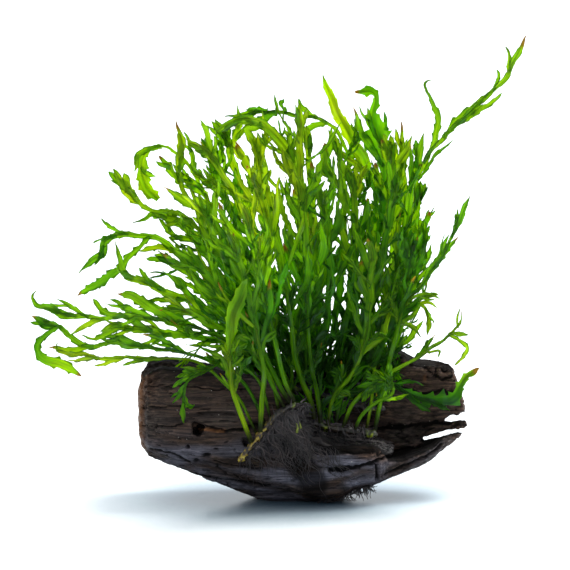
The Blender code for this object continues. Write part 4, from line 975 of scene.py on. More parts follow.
def make_log(material):
    """The log, with its grain, pits and cracks in the mesh, where it is rusty or pale, and painted shade
    and grey sheen.
    """
    mesh, points, normals = fine_copy("driftwood", LOG_FINENESS)
    across, high = points[:, 0], points[:, 2]
    left = 1 - smooth(*LEFT_RIM, across)
    right = smooth(*RIGHT_END, across)
    crust = (1 - smooth(*CRUST_ACROSS, across)) * smooth(*CRUST_UP, high)
    shift = grain_height(points, right, crust)
    spots = in_picture(points)
    seen = (normals @ -AHEAD > 0.2) & (points[:, 1] < FRONT_DEPTH)
    painted_shade = np.zeros(len(points))
    for hollow, depth in dents(points, spots):
        shift -= depth * (hollow * seen)
        painted_shade = np.maximum(painted_shade, hollow * seen)
    above_ground = 0.15 + 0.85 * smooth(0.0, 2.5, high)
    moved = points + normals * (shift * above_ground)[:, None]
    moved[:, 2] = np.maximum(moved[:, 2], 0.0)
    mesh.vertices.foreach_set("co", (moved * MM).ravel())

    # Painted shade: darker in the pits and cracks, under the fan of roots, on faces turned up or to the
    # left, and in the grooves of the grain
    painted_shade = np.maximum(painted_shade, 0.9 * ((1 - smooth(5, 12, gap_to(spots, SHADE_UNDER_FAN))) * seen))
    facing_up = smooth(0.15, 0.5, normals[:, 2])
    facing_left = 0.4 * smooth(0.4, 0.8, -normals[:, 0])
    painted_shade = np.maximum(painted_shade, 0.95 * np.maximum(facing_up, facing_left))
    paint(mesh, "painted_shade", np.clip(np.maximum(painted_shade, 0.44 - 0.42 * shift), 0, 1))
    sliver = (1 - smooth(0.5, 1.0, gap_to(spots, SLIVER))) * seen
    fleck = (1 - smooth(0.5, 1.1, oval_gap(spots, *FLECK))) * seen
    paint(mesh, "rust", np.clip(0.8 * left + 0.35 * crust + sliver + fleck, 0, 1))
    bare = smooth(*BARE_ACROSS, across) * smooth(*BARE_UP, high)
    tongue = (1 - smooth(6, 16, oval_gap(spots, TONGUE, 1, 0.5))) * seen
    paint(mesh, "pale", np.clip(right * 0.6 + 0.6 * bare + tongue, 0, 1))
    # A painted reflection of the pale floor: a grey sheen in patches low on the front, less on the right,
    # kept as "grey"
    patches = smooth(-0.4, 0.35, field_of(points, (30, 9, 9), 41.0))
    sheen = (1 - smooth(*PAINTED_SHEEN_UP, spots[:, 1])) * patches
    paint(mesh, "grey", sheen * (1 - 0.7 * smooth(*PAINTED_SHEEN_ACROSS, across)))
    log = dress("driftwood_log", mesh, material)
    declare(log, "driftwood")
    return log


def tubes(name, lines, material, sides=5):
    """Thin strands joined into one mesh: each is its points in mm and its radius at both ends."""
    points, faces, shades = [], [], []
    chance = random.Random(name)
    turns = np.linspace(0, 2 * math.pi, sides, endpoint=False)
    count = 0
    for line, thick, thin in lines:
        line = np.asarray(line, float)
        heading = np.gradient(line, axis=0)
        heading /= np.linalg.norm(heading, axis=1, keepdims=True) + 1e-9
        side = np.cross(heading, (0.3, 1.0, 0.2))
        side /= np.linalg.norm(side, axis=1, keepdims=True) + 1e-9
        over = np.cross(heading, side)
        radius = np.linspace(thick, thin, len(line))[:, None]
        points.append(ring_points(line, radius, side, over, turns).reshape(-1, 3))
        shades.append(np.full(len(line) * sides, chance.random() ** 3))
        faces += tube_faces(count, len(line) - 1, sides, flipped=True)
        count += len(points[-1])
    mesh = bpy.data.meshes.new(name)
    mesh.from_pydata((np.vstack(points) * MM).tolist(), [], faces)
    paint(mesh, "shade", np.concatenate(shades))
    return dress(name, mesh, material)


def surface_of(*pieces):
    """A search tree over the outsides of pieces, in mm."""
    points, faces = [], []
    for piece in pieces:
        first = len(points)
        points += [tuple(vertex.co / MM) for vertex in piece.data.vertices]
        faces += [tuple(first + index for index in face.vertices) for face in piece.data.polygons]
    return BVHTree.FromPolygons(points, faces)


def on_surface(tree, spot):
    """The nearest point of a surface that shows at a spot in the picture, or None."""
    towards = seen_at(spot, 0.0) - EYE
    hit, *_ = tree.ray_cast(Vector(EYE), Vector(towards).normalized())
    return None if hit is None else np.array(hit)


# How many bundles of roots fan out, how many short roots hang from the log, and how many loose
# fibres lie over the hollow and stand behind the stalks
FAN_BUNDLES = 64
HAIRS = 110
LOOSE_FIBRES = 620
STANDING_FIBRES = 260

# The radius at the thin end of a root and of a fibre, and at the thick end of a short root, and
# the length of a root's steps, in mm
ROOT_END = 0.08
FIBRE_END = 0.12
HAIR_START = 0.28
ROOT_STEP = 1.5

# A root reaches the surface after ROOT_SETTLES mm, and lies ever closer to it over ROOT_SINKS mm.
# It doesn't follow a drop of more than LONGEST_DROP mm, and ends some steps past it.
ROOT_SETTLES = 9
ROOT_SINKS = 46
LONGEST_DROP = 3.0
HANGING_STEPS = 6

# How long a root is, in mm, how much longer where the fan is widest, and how many a bundle has
ROOT_LENGTH = (10, 20)
EXTRA_LENGTH = 42
BUNDLE_SIZE = (2, 6)

# Where the short roots hang: from this far across, over this width, and at an edge below this
HAIRS_FROM = 6
HAIRS_OVER = 24
HAIRS_BELOW = 8.0

# Where fibres lie in the hollow, across and deep, dropped from this height, and where they stand,
# across and up
LYING_ACROSS = (-46, 44)
LYING_DEEP = (-18, 14)
ABOVE_HOLLOW = 75.0
STANDING_ACROSS = (-22, 31)
STANDING_UP = (27, 56)


def root_bundles(chance):
    """Bundles of roots: where each starts along the rhizome, its course, length, phase and height."""
    bundles = []
    for _ in range(FAN_BUNDLES):
        start = 1 - 0.95 * chance.random() ** 1.8
        length = chance.uniform(*ROOT_LENGTH) + chance.uniform(0.2, 1.0) * EXTRA_LENGTH * start
        course = chance.gauss(0.12 + 0.34 * start, 0.24) + 0.9 * (chance.random() < 0.16)
        bundle = (start, course, length, chance.uniform(0, 6), chance.uniform(0, 1.8))
        bundles += [bundle] * round(chance.uniform(*BUNDLE_SIZE) + 8 * start ** 2 * chance.random())
    return bundles


def root_over(tree, spot, origin_depth, length, lean, phase, height):
    """A root's points as it winds down over a surface, and hangs free where that falls back."""
    line = []
    hanging = 0
    behind = None
    for step in range(int(length / ROOT_STEP)):
        travel = step * ROOT_STEP
        angle = lean + 0.3 * math.sin(travel / 7 + phase) + 0.5 * math.sin(travel / 2.3 + phase * 3)
        spot = spot + ROOT_STEP * np.array((math.sin(angle), -math.cos(angle)))
        hit = on_surface(tree, spot)
        if hit is None:
            break
        if behind is not None and hit[1] > behind + LONGEST_DROP:
            hit = seen_at(spot, behind)
            hanging += 1
        if hanging > HANGING_STEPS:
            break
        behind = hit[1]
        settled = min(1.0, travel / ROOT_SETTLES)
        above = hit - AHEAD * (0.2 + height * (1 - 0.6 * travel / ROOT_SINKS))
        free = seen_at(spot, min(origin_depth - 0.5, above[1]))
        line.append(above * settled + (1 - settled) * free)
    return line


def root_fan(tree):
    """Fine roots that hang from the front rhizome over the log."""
    chance = random.Random("fan")
    rhizome = RHIZOME_LINES["front"]
    strands = []
    for start, course, longest, phase, height in root_bundles(chance):
        place = rhizome.at(0.15 + 0.85 * start + chance.gauss(0, 0.015))
        aside = chance.uniform(-1.5, 1.5 + 4.5 * start ** 4)
        spot = np.array(place[:2]) + (aside, chance.uniform(-3, 1))
        lean = course + chance.gauss(0, 0.1)
        length = longest * chance.uniform(0.4, 1.1)
        phase = phase + chance.gauss(0, 0.35)
        height = height + chance.uniform(0.0, 0.8)
        line = root_over(tree, spot, place[2], length, lean, phase, height)
        if len(line) > 3:
            strands.append((line, 0.12 + 0.34 * chance.random() ** 2, ROOT_END))
    return strands


def hanging_hairs(tree):
    """Short fine roots that hang from the lower edge of the log, down to the ground."""
    chance = random.Random("hairs")
    strands = []
    for _ in range(HAIRS):
        across = HAIRS_FROM + HAIRS_OVER * chance.random() ** 0.8
        up = HAIRS_BELOW
        while up > -2 and on_surface(tree, (across, up)) is not None:
            up -= 0.5
        spot = np.array((across, up + 1.0))
        edge = on_surface(tree, spot)
        if edge is None:
            continue
        heading = chance.uniform(-0.7, 0.9)
        line = [edge + AHEAD * 1.5]
        for _ in range(chance.randint(4, 9)):
            heading += chance.uniform(-0.6, 0.6)
            spot = spot + 0.8 * np.array((math.sin(heading), -math.cos(heading)))
            point = seen_at(spot, edge[1] - 0.4)
            if point[2] < 0.4:
                break
            line.append(point)
        if len(line) > 2:
            strands.append((line, HAIR_START, FIBRE_END))
    return strands


def make_roots(log, material):
    tree = surface_of(log)
    fan = tubes("root_fan", root_fan(tree) + hanging_hairs(tree), material)
    declare(fan, "root_mat")
    return fan


def lying_fibres(tree, chance):
    """Loose fibres that wind over what fills the hollow."""
    strands = []
    for number in range(LOOSE_FIBRES):
        place = np.array((chance.uniform(*LYING_ACROSS), chance.uniform(*LYING_DEEP), ABOVE_HOLLOW))
        heading = chance.choice((chance.uniform(-0.5, 0.5), chance.uniform(0, 2 * math.pi)))
        line = []
        for step in range(chance.randint(8, 22)):
            heading += chance.uniform(-0.35, 0.35)
            place = place + np.array((1.5 * math.cos(heading), 1.1 * math.sin(heading), 0))
            hit, *_ = tree.ray_cast(Vector(place), Vector((0, 0, -1)))
            if hit is None or line and abs(hit[2] - line[-1][2]) > LONGEST_DROP:
                break
            line.append(np.array(hit) + (0, 0, 0.2 + 0.9 * math.sin(step / 3.0 + number) ** 2))
        if len(line) > 4:
            strands.append((line, chance.uniform(0.2, 0.5), FIBRE_END))
    return strands


def standing_fibres(tree, chance):
    """Short fibres that stand up, bowed, behind the feet of the stalks."""
    strands = []
    for _ in range(STANDING_FIBRES):
        foot = on_surface(tree, (chance.uniform(*STANDING_ACROSS), chance.uniform(*STANDING_UP)))
        if foot is None:
            continue
        rise = chance.uniform(2, 7)
        lean = chance.uniform(-0.7, 0.7)
        line = []
        for share in np.linspace(0, 1, 8):
            bow = math.sin(share * math.pi)
            aside = lean * rise * share + 0.6 * bow * lean
            line.append(foot + (aside, -0.4 - 1.6 * bow, rise * share - 2.0))
        strands.append((line, chance.uniform(0.2, 0.45), FIBRE_END))
    return strands


def make_root_mass(material, stems):
    """The lumpy mass of old stems and roots in the hollow, with loose fibres over it."""
    mesh, points, normals = fine_copy("root_clump", MASS_FINENESS)
    fibres = field_of(points, (5, 2.2, 2.2), 2.0, octaves=3)
    lumps = field_of(points, (13, 9, 9), 9.0)
    moved = points + normals * (0.9 * fibres + 1.6 * lumps - 0.3)[:, None]
    mesh.vertices.foreach_set("co", (moved * MM).ravel())
    paint(mesh, "shade", np.clip(0.2 + 0.4 * fibres, 0, 1))
    mass = dress("root_mass", mesh, material)
    declare(mass, "root_clump")
    tree = surface_of(mass, *stems)
    chance = random.Random("mass")
    strands = lying_fibres(tree, chance) + standing_fibres(tree, chance)
    loose = tubes("root_fibres", strands, material, sides=4)
    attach(loose, "root")


# A rhizome's corners round a section, the distance between its sections in mm, and the share of
# its radius that shows between its scales
RHIZOME_SIDES = 14
RHIZOME_STEP = 0.6
FRONT_RHIZOME = 0.66
OTHER_RHIZOME = 0.8

# Where the rhizomes show fresh yellow-green scales, across, and where the front one turns golden
FRESH_STUBS = (-7.0, 7.0, 30.0)
GOLD_ACROSS = (-25, -17)


def make_rhizome(name, material):
    """A scaly creeping stem, fresh yellow-green in places, and golden at the front one's end."""
    line = Line([tuple(seen_at(point[:2], point[2])) for point in RHIZOMES[name]])
    sections, ring = round(line.length / RHIZOME_STEP), RHIZOME_SIDES
    share = np.linspace(0, 1, sections + 1)
    centre, heading = line.at(share), line.heading(share)
    side = np.cross(heading, (0, 0, 1.0))
    side /= np.linalg.norm(side, axis=1, keepdims=True)
    over = np.cross(side, heading)
    turns = np.linspace(0, 2 * math.pi, ring, endpoint=False)
    along = share * line.length
    swell = 0.92 + 0.16 * np.sin(along / 0.9) * np.sin(along / 3.1) + 0.14 * np.sin(along / 2.3 + 1)
    close = np.clip(np.minimum(share, 1 - share) * line.length / RHIZOME_RADIUS, 0.02, 1) ** 0.5
    wide = FRONT_RHIZOME if name == "front" else OTHER_RHIZOME
    radius = (RHIZOME_RADIUS * wide * swell * close)[:, None] * np.ones(ring)
    smooth_points = ring_points(centre, radius, side, over, turns).reshape(-1, 3)
    bumps = field_of(smooth_points, (1.7, 1.7, 1.7), 4.0)
    outward = smooth_points - np.repeat(centre, ring, axis=0)
    points = smooth_points + outward * (0.55 * bumps)[:, None]
    points = points + 0.5 * field_of(smooth_points, (6, 6, 6), 14.0)[:, None]
    mesh = bpy.data.meshes.new(name)
    mesh.from_pydata((points * MM).tolist(), [], tube_faces(0, sections, ring))
    across = points[:, 0]
    fresh = np.zeros(len(points))
    for spot in FRESH_STUBS:
        fresh = np.maximum(fresh, 1 - smooth(1.5, 3.0, np.abs(across - spot)))
    paint(mesh, "scales", np.clip(0.5 + bumps, 0, 1))
    golden = 1 - smooth(*GOLD_ACROSS, across)
    paint(mesh, "gold", golden if name == "front" else 0 * golden)
    paint(mesh, "fresh", fresh)
    stem = dress(f"stem_{name}", mesh, material)
    declare(stem, f"rhizome_{name}")
    return stem


# Fresh buds on the rhizomes: where they show, and how tall they are in mm
BUDS = [((-6.5, 33.0), 4.5), ((-4.8, 35.0), 3.5), ((-3.4, 33.5), 2.5), ((6.6, 31.5), 3.5),
        ((8.2, 33.0), 3.0), ((28.6, 29.0), 4.5), ((30.6, 28.0), 3.0)]

# How scaly three neighbouring points of a bud look
BUD_SCALES = (0.95, 0.7, 0.85)


def make_buds(tree, material):
    """Yellow-green buds that stand out from the roots and the rhizomes."""
    chance = random.Random("buds")
    strands = []
    for spot, tall in BUDS:
        foot = on_surface(tree, spot) - 0.3 * AHEAD
        growth = np.array((chance.uniform(-0.6, 0.6), -0.2, 1.0)) * tall
        bend = np.array((chance.uniform(-0.7, 0.7), -0.3, 0.0))
        line = [foot + share * growth + math.sin(share * math.pi) * bend
                for share in np.linspace(-0.15, 1, 9)]
        strands.append((line, chance.uniform(0.55, 0.85), 0.25))
    buds = tubes("rhizome_buds", strands, material, sides=8)
    count = len(buds.data.vertices)
    paint(buds.data, "fresh", np.ones(count))
    paint(buds.data, "scales", np.tile(BUD_SCALES, count)[:count])
    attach(buds, "root")


class Nodes:
    """Short names for building a material's nodes."""

    def __init__(self, name):
        self.material = bpy.data.materials.new(name)
        self.material.use_nodes = True
        self.tree = self.material.node_tree
        self.shader = self.tree.nodes["Principled BSDF"]
        self.output = self.tree.nodes["Material Output"]

    def add(self, kind, **settings):
        node = self.tree.nodes.new(kind)
        for key, value in settings.items():
            setattr(node, key, value)
        return node

    def link(self, source, target):
        self.tree.links.new(source, target)

    def fill(self, socket, value):
        """Give a socket a number, a colour, or what another node puts out."""
        if isinstance(value, (int, float)):
            socket.default_value = value
        elif isinstance(value, tuple):
            socket.default_value = (*value, 1)
        else:
            self.link(value, socket)

    def attribute(self, name, output="Fac"):
        return self.add("ShaderNodeAttribute", attribute_name=name).outputs[output]

    def place(self):
        """Where a point is on its own piece, in m."""
        return self.add("ShaderNodeTexCoord").outputs["Object"]

    def math(self, operation, first, second):
        node = self.add("ShaderNodeMath", operation=operation)
        self.fill(node.inputs[0], first)
        self.fill(node.inputs[1], second)
        return node.outputs[0]

    def times(self, first, second):
        return self.math("MULTIPLY", first, second)

    def plus(self, first, second):
        return self.math("ADD", first, second)

    def noise(self, vector, scale, detail=3.0, roughness=0.55):
        """Noise of one scale, or of one scale along each axis."""
        if isinstance(scale, tuple):
            stretch = self.add("ShaderNodeMapping")
            self.link(vector, stretch.inputs["Vector"])
            stretch.inputs["Scale"].default_value = scale
            vector, scale = stretch.outputs[0], 1.0
        node = self.add("ShaderNodeTexNoise")
        self.link(vector, node.inputs["Vector"])
        node.inputs["Scale"].default_value = scale
        node.inputs["Detail"].default_value = detail
        node.inputs["Roughness"].default_value = roughness
        return node.outputs["Fac"]

    def ramp(self, value, *stops):
        """Colours, or plain levels, at places from 0 to 1."""
        node = self.add("ShaderNodeValToRGB")
        self.link(value, node.inputs["Fac"])
        elements = node.color_ramp.elements
        while len(elements) < len(stops):
            elements.new(0.5)
        for element, (position, colour) in zip(elements, stops):
            element.position = position
            element.color = (*colour, 1) if isinstance(colour, tuple) else (colour, colour, colour, 1)
        return node.outputs["Color"]

    def mix(self, factor, first, second, blend="MIX"):
        node = self.add("ShaderNodeMix", data_type="RGBA", blend_type=blend)
        for name, value in (("Factor", factor), ("A", first), ("B", second)):
            self.fill(node.inputs[name], value)
        return node.outputs["Result"]

    def multiplied(self, factor, first, second):
        return self.mix(factor, first, second, "MULTIPLY")

    def bump(self, height, distance, strength):
        node = self.add("ShaderNodeBump")
        self.link(height, node.inputs["Height"])
        node.inputs["Distance"].default_value = distance
        node.inputs["Strength"].default_value = strength
        self.link(node.outputs[0], self.shader.inputs["Normal"])
        return node.outputs[0]


# A leaf from shaded to lit: its own green, and the light that comes through it
LEAF_GREEN = ((0.0, (0.008, 0.033, 0.003)), (0.3, (0.022, 0.1, 0.003)), (0.55, (0.06, 0.2, 0.003)),
              (0.78, (0.15, 0.33, 0.003)), (1.0, (0.3, 0.42, 0.006)))
LEAF_GLOW = ((0.0, (0.09, 0.3, 0.005)), (0.35, (0.28, 0.58, 0.005)), (0.65, (0.52, 0.76, 0.01)),
             (1.0, (0.72, 0.82, 0.03)))
GLOW_SHARE = 0.72
LEAF_WITHERED = ((0.3, (0.16, 0.07, 0.01)), (0.5, (0.42, 0.25, 0.02)), (0.7, (0.75, 0.6, 0.05)))

# The ribs and margins, the painted bluish highlights of wet patches, the freckles and the feet of the
# stalks
LEAF_LINES = (0.01, 0.035, 0.001)
LEAF_LINES_GLOW = (0.1, 0.27, 0.002)
LEAF_PAINTED_GLEAM = (0.15, 0.27, 0.2)
LEAF_FRECKLE = (0.5, 0.3, 0.01)
STALK_FOOT = (0.012, 0.007, 0.003)
STALK_FOOT_GLOW = (0.03, 0.015, 0.004)

# How much a leaf's streaks, its tone and its blotches lighten it, and what is taken off their sum
STREAKS_SHARE = 0.95
TONE_SHARE = 0.8
BLOTCHES_SHARE = 0.25
LEVEL_DROP = 0.46

# The log's wood by its fine grain: black, brown, the painted grey sheen, rusty, and bare
WOOD_BLACK = ((0.33, (0.002, 0.002, 0.002)), (0.46, (0.023, 0.02, 0.019)), (0.6, (0.06, 0.054, 0.05)),
              (0.74, (0.17, 0.15, 0.13)))
WOOD_BROWN = ((0.33, (0.003, 0.002, 0.002)), (0.47, (0.029, 0.018, 0.014)), (0.6, (0.068, 0.042, 0.03)),
              (0.75, (0.18, 0.1, 0.068)))
WOOD_PAINTED_SHEEN = ((0.3, (0.028, 0.027, 0.034)), (0.47, (0.095, 0.092, 0.118)), (0.72, (0.22, 0.22, 0.28)))
WOOD_RUST = ((0.2, (0.05, 0.018, 0.006)), (0.6, (0.19, 0.075, 0.025)), (0.9, (0.34, 0.17, 0.07)))
WOOD_BARE = ((0.33, (0.01, 0.007, 0.006)), (0.5, (0.072, 0.042, 0.031)), (0.75, (0.26, 0.15, 0.1)))
WOOD_SPECK = (0.4, 0.37, 0.33)

ROOT_BLACK = ((0.35, (0.0015, 0.0012, 0.0014)), (0.5, (0.01, 0.009, 0.011)), (0.7, (0.035, 0.027, 0.028)))
ROOT_GREY = (0.15, 0.115, 0.11)

# A rhizome by its scales: golden, dull, and fresh as a bud
STEM_GOLD = ((0.35, (0.01, 0.006, 0.002)), (0.5, (0.07, 0.04, 0.006)), (0.7, (0.24, 0.17, 0.012)),
             (0.95, (0.42, 0.36, 0.03)))
STEM_DULL = ((0.4, (0.003, 0.002, 0.001)), (0.8, (0.016, 0.009, 0.004)), (1.0, (0.12, 0.1, 0.01)))
STEM_FRESH = ((0.5, (0.015, 0.02, 0.002)), (0.7, (0.07, 0.1, 0.004)), (0.95, (0.24, 0.28, 0.01)))

# How deep the finest grain of each material is, in m
LEAF_GRAIN = 0.0003
WOOD_GRAIN = 0.0009
ROOT_GRAIN = 0.0003
STEM_GRAIN = 0.0006

# The floor's white, and the shade painted on it where something stands close, within this distance in m
FLOOR_WHITE = ((0.3, (0.90, 0.925, 0.95)), (0.7, (0.93, 0.95, 0.97)))
FLOOR_SHADE = ((0.35, (0.07, 0.11, 0.15)), (0.7, (0.45, 0.53, 0.58)), (0.93, (1.0, 1.0, 1.0)))
SHADE_REACH = 0.09


def leaf_material():
    """Green blades with streaks, a darker margin and rib, brown tips, painted bluish highlights, painted
    light and shade, and light that comes through.
    """
    nodes = Nodes("leaf")
    grain = nodes.attribute("grain", "Vector")
    split = nodes.add("ShaderNodeSeparateColor")
    nodes.link(nodes.attribute("tone", "Color"), split.inputs[0])
    light, brown, share = split.outputs
    streaks = nodes.noise(grain, (1.05, 0.025, 0.0), 4.0, 0.7)
    blotches = nodes.noise(grain, (0.3, 0.06, 0.0), 3.0, 0.6)
    threads = nodes.noise(grain, (0.85, 0.035, 0.0), 2.0, 0.6)
    freckles = nodes.noise(grain, (0.9, 0.5, 0.0), 2.0, 0.7)
    level = nodes.plus(nodes.times(streaks, STREAKS_SHARE), nodes.times(light, TONE_SHARE))
    level = nodes.plus(level, nodes.times(blotches, BLOTCHES_SHARE))
    level = nodes.math("SUBTRACT", level, LEVEL_DROP)

    parts = nodes.add("ShaderNodeSeparateXYZ")
    nodes.link(grain, parts.inputs[0])
    across = nodes.math("ABSOLUTE", parts.outputs["X"], 0.0)
    from_edge = nodes.math("SUBTRACT", parts.outputs["Z"], across)
    rib = nodes.ramp(across, (0.0, 1), (0.32, 0))
    margin = nodes.ramp(from_edge, (0.14, 1), (0.55, 0))
    lines = nodes.math("MAXIMUM", nodes.times(rib, 0.1), nodes.times(margin, 0.55))
    fibres = nodes.ramp(threads, (0.34, 0.66), (0.46, 1.0), (0.62, 1.15))
    withered = nodes.ramp(streaks, *LEAF_WITHERED)
    wither = nodes.ramp(nodes.plus(brown, nodes.times(streaks, 0.35)), (0.55, 0), (0.95, 1))
    foot = nodes.ramp(share, (0.025, 0.9), (0.1, 0))

    green = nodes.mix(lines, nodes.ramp(level, *LEAF_GREEN), LEAF_LINES)
    green = nodes.multiplied(1.0, green, fibres)
    # A painted highlight: bluish patches mixed into the colour, like the wet leaves' reflections
    painted_gleam = nodes.ramp(nodes.noise(grain, (0.14, 0.07, 0.0), 2.0), (0.58, 0), (0.7, 0.5))
    green = nodes.mix(painted_gleam, green, LEAF_PAINTED_GLEAM)
    colour = nodes.mix(wither, green, withered)
    colour = nodes.mix(foot, colour, STALK_FOOT)
    nodes.link(colour, nodes.shader.inputs["Base Color"])

    glow = nodes.mix(lines, nodes.ramp(level, *LEAF_GLOW), LEAF_LINES_GLOW)
    glow = nodes.multiplied(1.0, glow, fibres)
    freckled = nodes.ramp(freckles, (0.66, 0), (0.74, 1))
    glow = nodes.mix(nodes.times(freckled, 0.5), glow, LEAF_FRECKLE)
    glow = nodes.mix(wither, glow, withered)
    glow = nodes.mix(foot, glow, STALK_FOOT_GLOW)

    wet = nodes.ramp(nodes.noise(grain, (0.1, 0.06, 0.0), 1.0), (0.5, 0.5), (0.62, 0.2))
    nodes.link(wet, nodes.shader.inputs["Roughness"])
    nodes.shader.inputs["Specular IOR Level"].default_value = 0.25
    normal = nodes.bump(streaks, LEAF_GRAIN, 0.5)
    through = nodes.add("ShaderNodeBsdfTranslucent")
    nodes.link(glow, through.inputs["Color"])
    nodes.link(normal, through.inputs["Normal"])
    blend = nodes.add("ShaderNodeMixShader")
    blend.inputs["Fac"].default_value = GLOW_SHARE
    nodes.link(nodes.shader.outputs[0], blend.inputs[1])
    nodes.link(through.outputs[0], blend.inputs[2])
    nodes.link(blend.outputs[0], nodes.output.inputs["Surface"])
    return nodes.material


def wood_material():
    """Dark wet wood with long grain, browner stretches, painted grey sheen and shade, rust, bare wood and
    pale specks.
    """
    nodes = Nodes("driftwood_grain")
    place = nodes.place()
    warp = nodes.add("ShaderNodeTexNoise")
    nodes.link(place, warp.inputs["Vector"])
    warp.inputs["Scale"].default_value = 35.0
    bent = nodes.add("ShaderNodeVectorMath", operation="MULTIPLY_ADD")
    nodes.link(warp.outputs["Color"], bent.inputs[0])
    bent.inputs[1].default_value = (0.004, 0.004, 0.004)
    nodes.link(place, bent.inputs[2])
    fine = nodes.noise(bent.outputs[0], (28, 820, 820), 5.0, 0.7)
    broad = nodes.noise(bent.outputs[0], (14, 90, 90), 3.0, 0.6)
    patches = nodes.noise(place, (30, 45, 45), 2.0, 0.5)

    brownness = nodes.ramp(patches, (0.32, 0.4), (0.5, 1))
    colour = nodes.mix(brownness, nodes.ramp(fine, *WOOD_BLACK), nodes.ramp(fine, *WOOD_BROWN))
    # The grey sheen painted low on the front, a painted reflection of the pale floor
    grey = nodes.times(nodes.attribute("grey"), 0.9)
    colour = nodes.mix(grey, colour, nodes.ramp(fine, *WOOD_PAINTED_SHEEN))
    colour = nodes.multiplied(0.8, colour, nodes.ramp(broad, (0.33, 0.6), (0.55, 1.0)))
    rust = nodes.times(nodes.attribute("rust"), 0.8)
    colour = nodes.mix(rust, colour, nodes.ramp(fine, *WOOD_RUST))
    pale = nodes.times(nodes.attribute("pale"), 0.75)
    colour = nodes.mix(pale, colour, nodes.ramp(fine, *WOOD_BARE))
    # Painted shade in the hollows, under the roots and on faces turned up or left: it darkens the colour
    # and roughens the wood
    painted_shade = nodes.attribute("painted_shade")
    colour = nodes.multiplied(1.0, colour, nodes.ramp(painted_shade, (0.55, 1), (0.95, 0.1)))
    cells = nodes.add("ShaderNodeTexVoronoi")
    nodes.link(place, cells.inputs["Vector"])
    cells.inputs["Scale"].default_value = 300.0
    dots = nodes.ramp(cells.outputs["Distance"], (0.05, 1), (0.1, 0))
    some = nodes.ramp(nodes.noise(place, 260.0, 1.0), (0.6, 0), (0.66, 1))
    colour = nodes.mix(nodes.times(dots, some), colour, WOOD_SPECK)
    nodes.link(colour, nodes.shader.inputs["Base Color"])

    rough = nodes.math("MAXIMUM", nodes.ramp(broad, (0.3, 0.65), (0.7, 0.4)), painted_shade)
    nodes.link(rough, nodes.shader.inputs["Roughness"])
    nodes.shader.inputs["Specular IOR Level"].default_value = 0.14
    nodes.bump(nodes.plus(fine, nodes.times(broad, 0.5)), WOOD_GRAIN, 0.8)
    return nodes.material


def root_material():
    """Nearly black fibres, a few of them grey."""
    nodes = Nodes("roots_fibre")
    place = nodes.place()
    patches = nodes.noise(place, 120.0)
    fine = nodes.noise(place, 900.0)
    grey = nodes.times(nodes.attribute("shade"), 0.42)
    colour = nodes.mix(grey, nodes.ramp(patches, *ROOT_BLACK), ROOT_GREY)
    nodes.link(colour, nodes.shader.inputs["Base Color"])
    nodes.link(nodes.ramp(fine, (0.3, 0.75), (0.7, 0.5)), nodes.shader.inputs["Roughness"])
    nodes.bump(fine, ROOT_GRAIN, 0.6)
    return nodes.material


def stem_material():
    """Scaly stems: dull, golden at the front one's end, and yellow-green where they are fresh."""
    nodes = Nodes("rhizome_scales")
    fine = nodes.noise(nodes.place(), 700.0, 4.0)
    level = nodes.plus(nodes.times(nodes.attribute("scales"), 0.6), nodes.times(fine, 0.5))
    gold = nodes.attribute("gold")
    fresh = nodes.attribute("fresh")
    colour = nodes.mix(gold, nodes.ramp(level, *STEM_DULL), nodes.ramp(level, *STEM_GOLD))
    colour = nodes.mix(fresh, colour, nodes.ramp(level, *STEM_FRESH))
    nodes.link(colour, nodes.shader.inputs["Base Color"])
    nodes.link(nodes.ramp(fine, (0.3, 0.55), (0.7, 0.35)), nodes.shader.inputs["Roughness"])
    nodes.bump(level, STEM_GRAIN, 0.8)
    return nodes.material


def floor_material():
    """White, with painted shade, bluer and darker, where something stands close to it."""
    nodes = Nodes("floor_white")
    mottle = nodes.noise(nodes.place(), 6.0, 2.0)
    nearby = nodes.add("ShaderNodeAmbientOcclusion", samples=12)
    nearby.inputs["Distance"].default_value = SHADE_REACH
    shade = nodes.ramp(nearby.outputs["AO"], *FLOOR_SHADE)
    colour = nodes.multiplied(1.0, nodes.ramp(mottle, *FLOOR_WHITE), shade)
    nodes.link(colour, nodes.shader.inputs["Base Color"])
    nodes.shader.inputs["Roughness"].default_value = 0.2
    nodes.shader.inputs["Specular IOR Level"].default_value = 0.12
    return nodes.material


# The floor's corners in m
FLOOR_CORNERS = [(-6, -4, 0), (6, -4, 0), (6, 9, 0), (-6, 9, 0)]

# How bright the room is in front of the plant and behind it, and its colour
FRONT_SHINE = 0.5
REAR_SHINE = 1.7
ROOM_COLOUR = (0.9, 0.96, 1.0, 1)

# The soft light from above: its strength, colour, angle across, and the way it shines
SKY_STRENGTH = 3.0
SKY_COLOUR = (1.0, 0.98, 0.93)
SKY_ANGLE = math.radians(22)
SKY_HEADING = (-0.4, -0.28, -0.87)

# The lamps, which shine at the middle of the plant: place in m and power in W; and their size in m
LAMPS = {"left_light": ((-0.7, -0.9, 0.9), 2.5), "right_light": ((0.8, 0.3, 0.9), 4.0)}
LAMP_SIZE = 0.35
PLANT_MIDDLE = (-0.01, 0, 0.09)

# The width of the camera's sensor in mm, and how far it sees in m
SENSOR_WIDTH = 36.0
FARTHEST_SEEN = 30.0


def facing(direction):
    """The rotation of a lamp or camera that looks in a direction."""
    return Vector(direction).to_track_quat("-Z", "Y").to_euler()


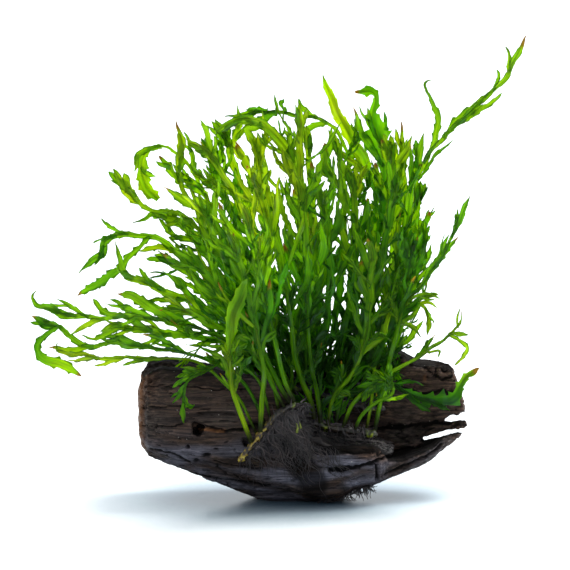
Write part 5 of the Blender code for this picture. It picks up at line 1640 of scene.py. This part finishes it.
def make_room():
    """White behind everything, with a glow that is brighter from the rear."""
    world = bpy.data.worlds.new("studio")
    world.use_nodes = True
    nodes, links = world.node_tree.nodes, world.node_tree.links
    shine = nodes["Background"]
    shine.inputs["Color"].default_value = ROOM_COLOUR
    direction = nodes.new("ShaderNodeTexCoord")
    parts = nodes.new("ShaderNodeSeparateXYZ")
    links.new(direction.outputs["Generated"], parts.inputs[0])
    rear = nodes.new("ShaderNodeMapRange")
    for name, value in (("From Min", -0.6), ("From Max", 0.5),
                        ("To Min", FRONT_SHINE), ("To Max", REAR_SHINE)):
        rear.inputs[name].default_value = value
    links.new(parts.outputs["Y"], rear.inputs["Value"])
    links.new(rear.outputs["Result"], shine.inputs["Strength"])
    backdrop = nodes.new("ShaderNodeBackground")
    backdrop.inputs["Color"].default_value = (1, 1, 1, 1)
    rays = nodes.new("ShaderNodeLightPath")
    chosen = nodes.new("ShaderNodeMixShader")
    links.new(rays.outputs["Is Camera Ray"], chosen.inputs["Fac"])
    links.new(shine.outputs[0], chosen.inputs[1])
    links.new(backdrop.outputs[0], chosen.inputs[2])
    links.new(chosen.outputs[0], nodes["World Output"].inputs["Surface"])
    bpy.context.scene.world = world


def make_lights():
    sun = bpy.data.lights.new("sky_light", "SUN")
    sun.energy = SKY_STRENGTH
    sun.color = SKY_COLOUR
    sun.angle = SKY_ANGLE
    add_object("sky_light", sun).rotation_euler = facing(SKY_HEADING)
    for name, (spot, power) in LAMPS.items():
        light = bpy.data.lights.new(name, "AREA")
        light.size = LAMP_SIZE
        light.energy = power
        lamp = add_object(name, light)
        lamp.location = spot
        lamp.rotation_euler = facing(Vector(PLANT_MIDDLE) - Vector(spot))


def make_camera():
    camera = add_object("camera", bpy.data.cameras.new("camera"))
    camera.data.sensor_width = SENSOR_WIDTH
    camera.data.lens = SENSOR_WIDTH * VIEW_DISTANCE / PICTURE_WIDTH
    camera.data.clip_end = FARTHEST_SEEN
    camera.location = EYE * MM
    camera.rotation_euler = facing(AHEAD)
    bpy.context.scene.camera = camera
    bpy.context.scene.view_settings.view_transform = "Standard"


def make_stage():
    mesh = bpy.data.meshes.new("floor")
    mesh.from_pydata(FLOOR_CORNERS, [], [(0, 1, 2, 3)])
    mesh.materials.append(floor_material())
    floor = add_object("floor", mesh)
    make_room()
    make_lights()
    make_camera()


def main():
    make_stage()
    green = leaf_material()
    for name, frond in FRONDS.items():
        make_leaf(name, frond, green)
    log = make_log(wood_material())
    fibre = root_material()
    fan = make_roots(log, fibre)
    stem = stem_material()
    stems = [make_rhizome(name, stem) for name in RHIZOMES]
    make_root_mass(fibre, stems)
    make_buds(surface_of(log, fan, *stems), stem)


main()
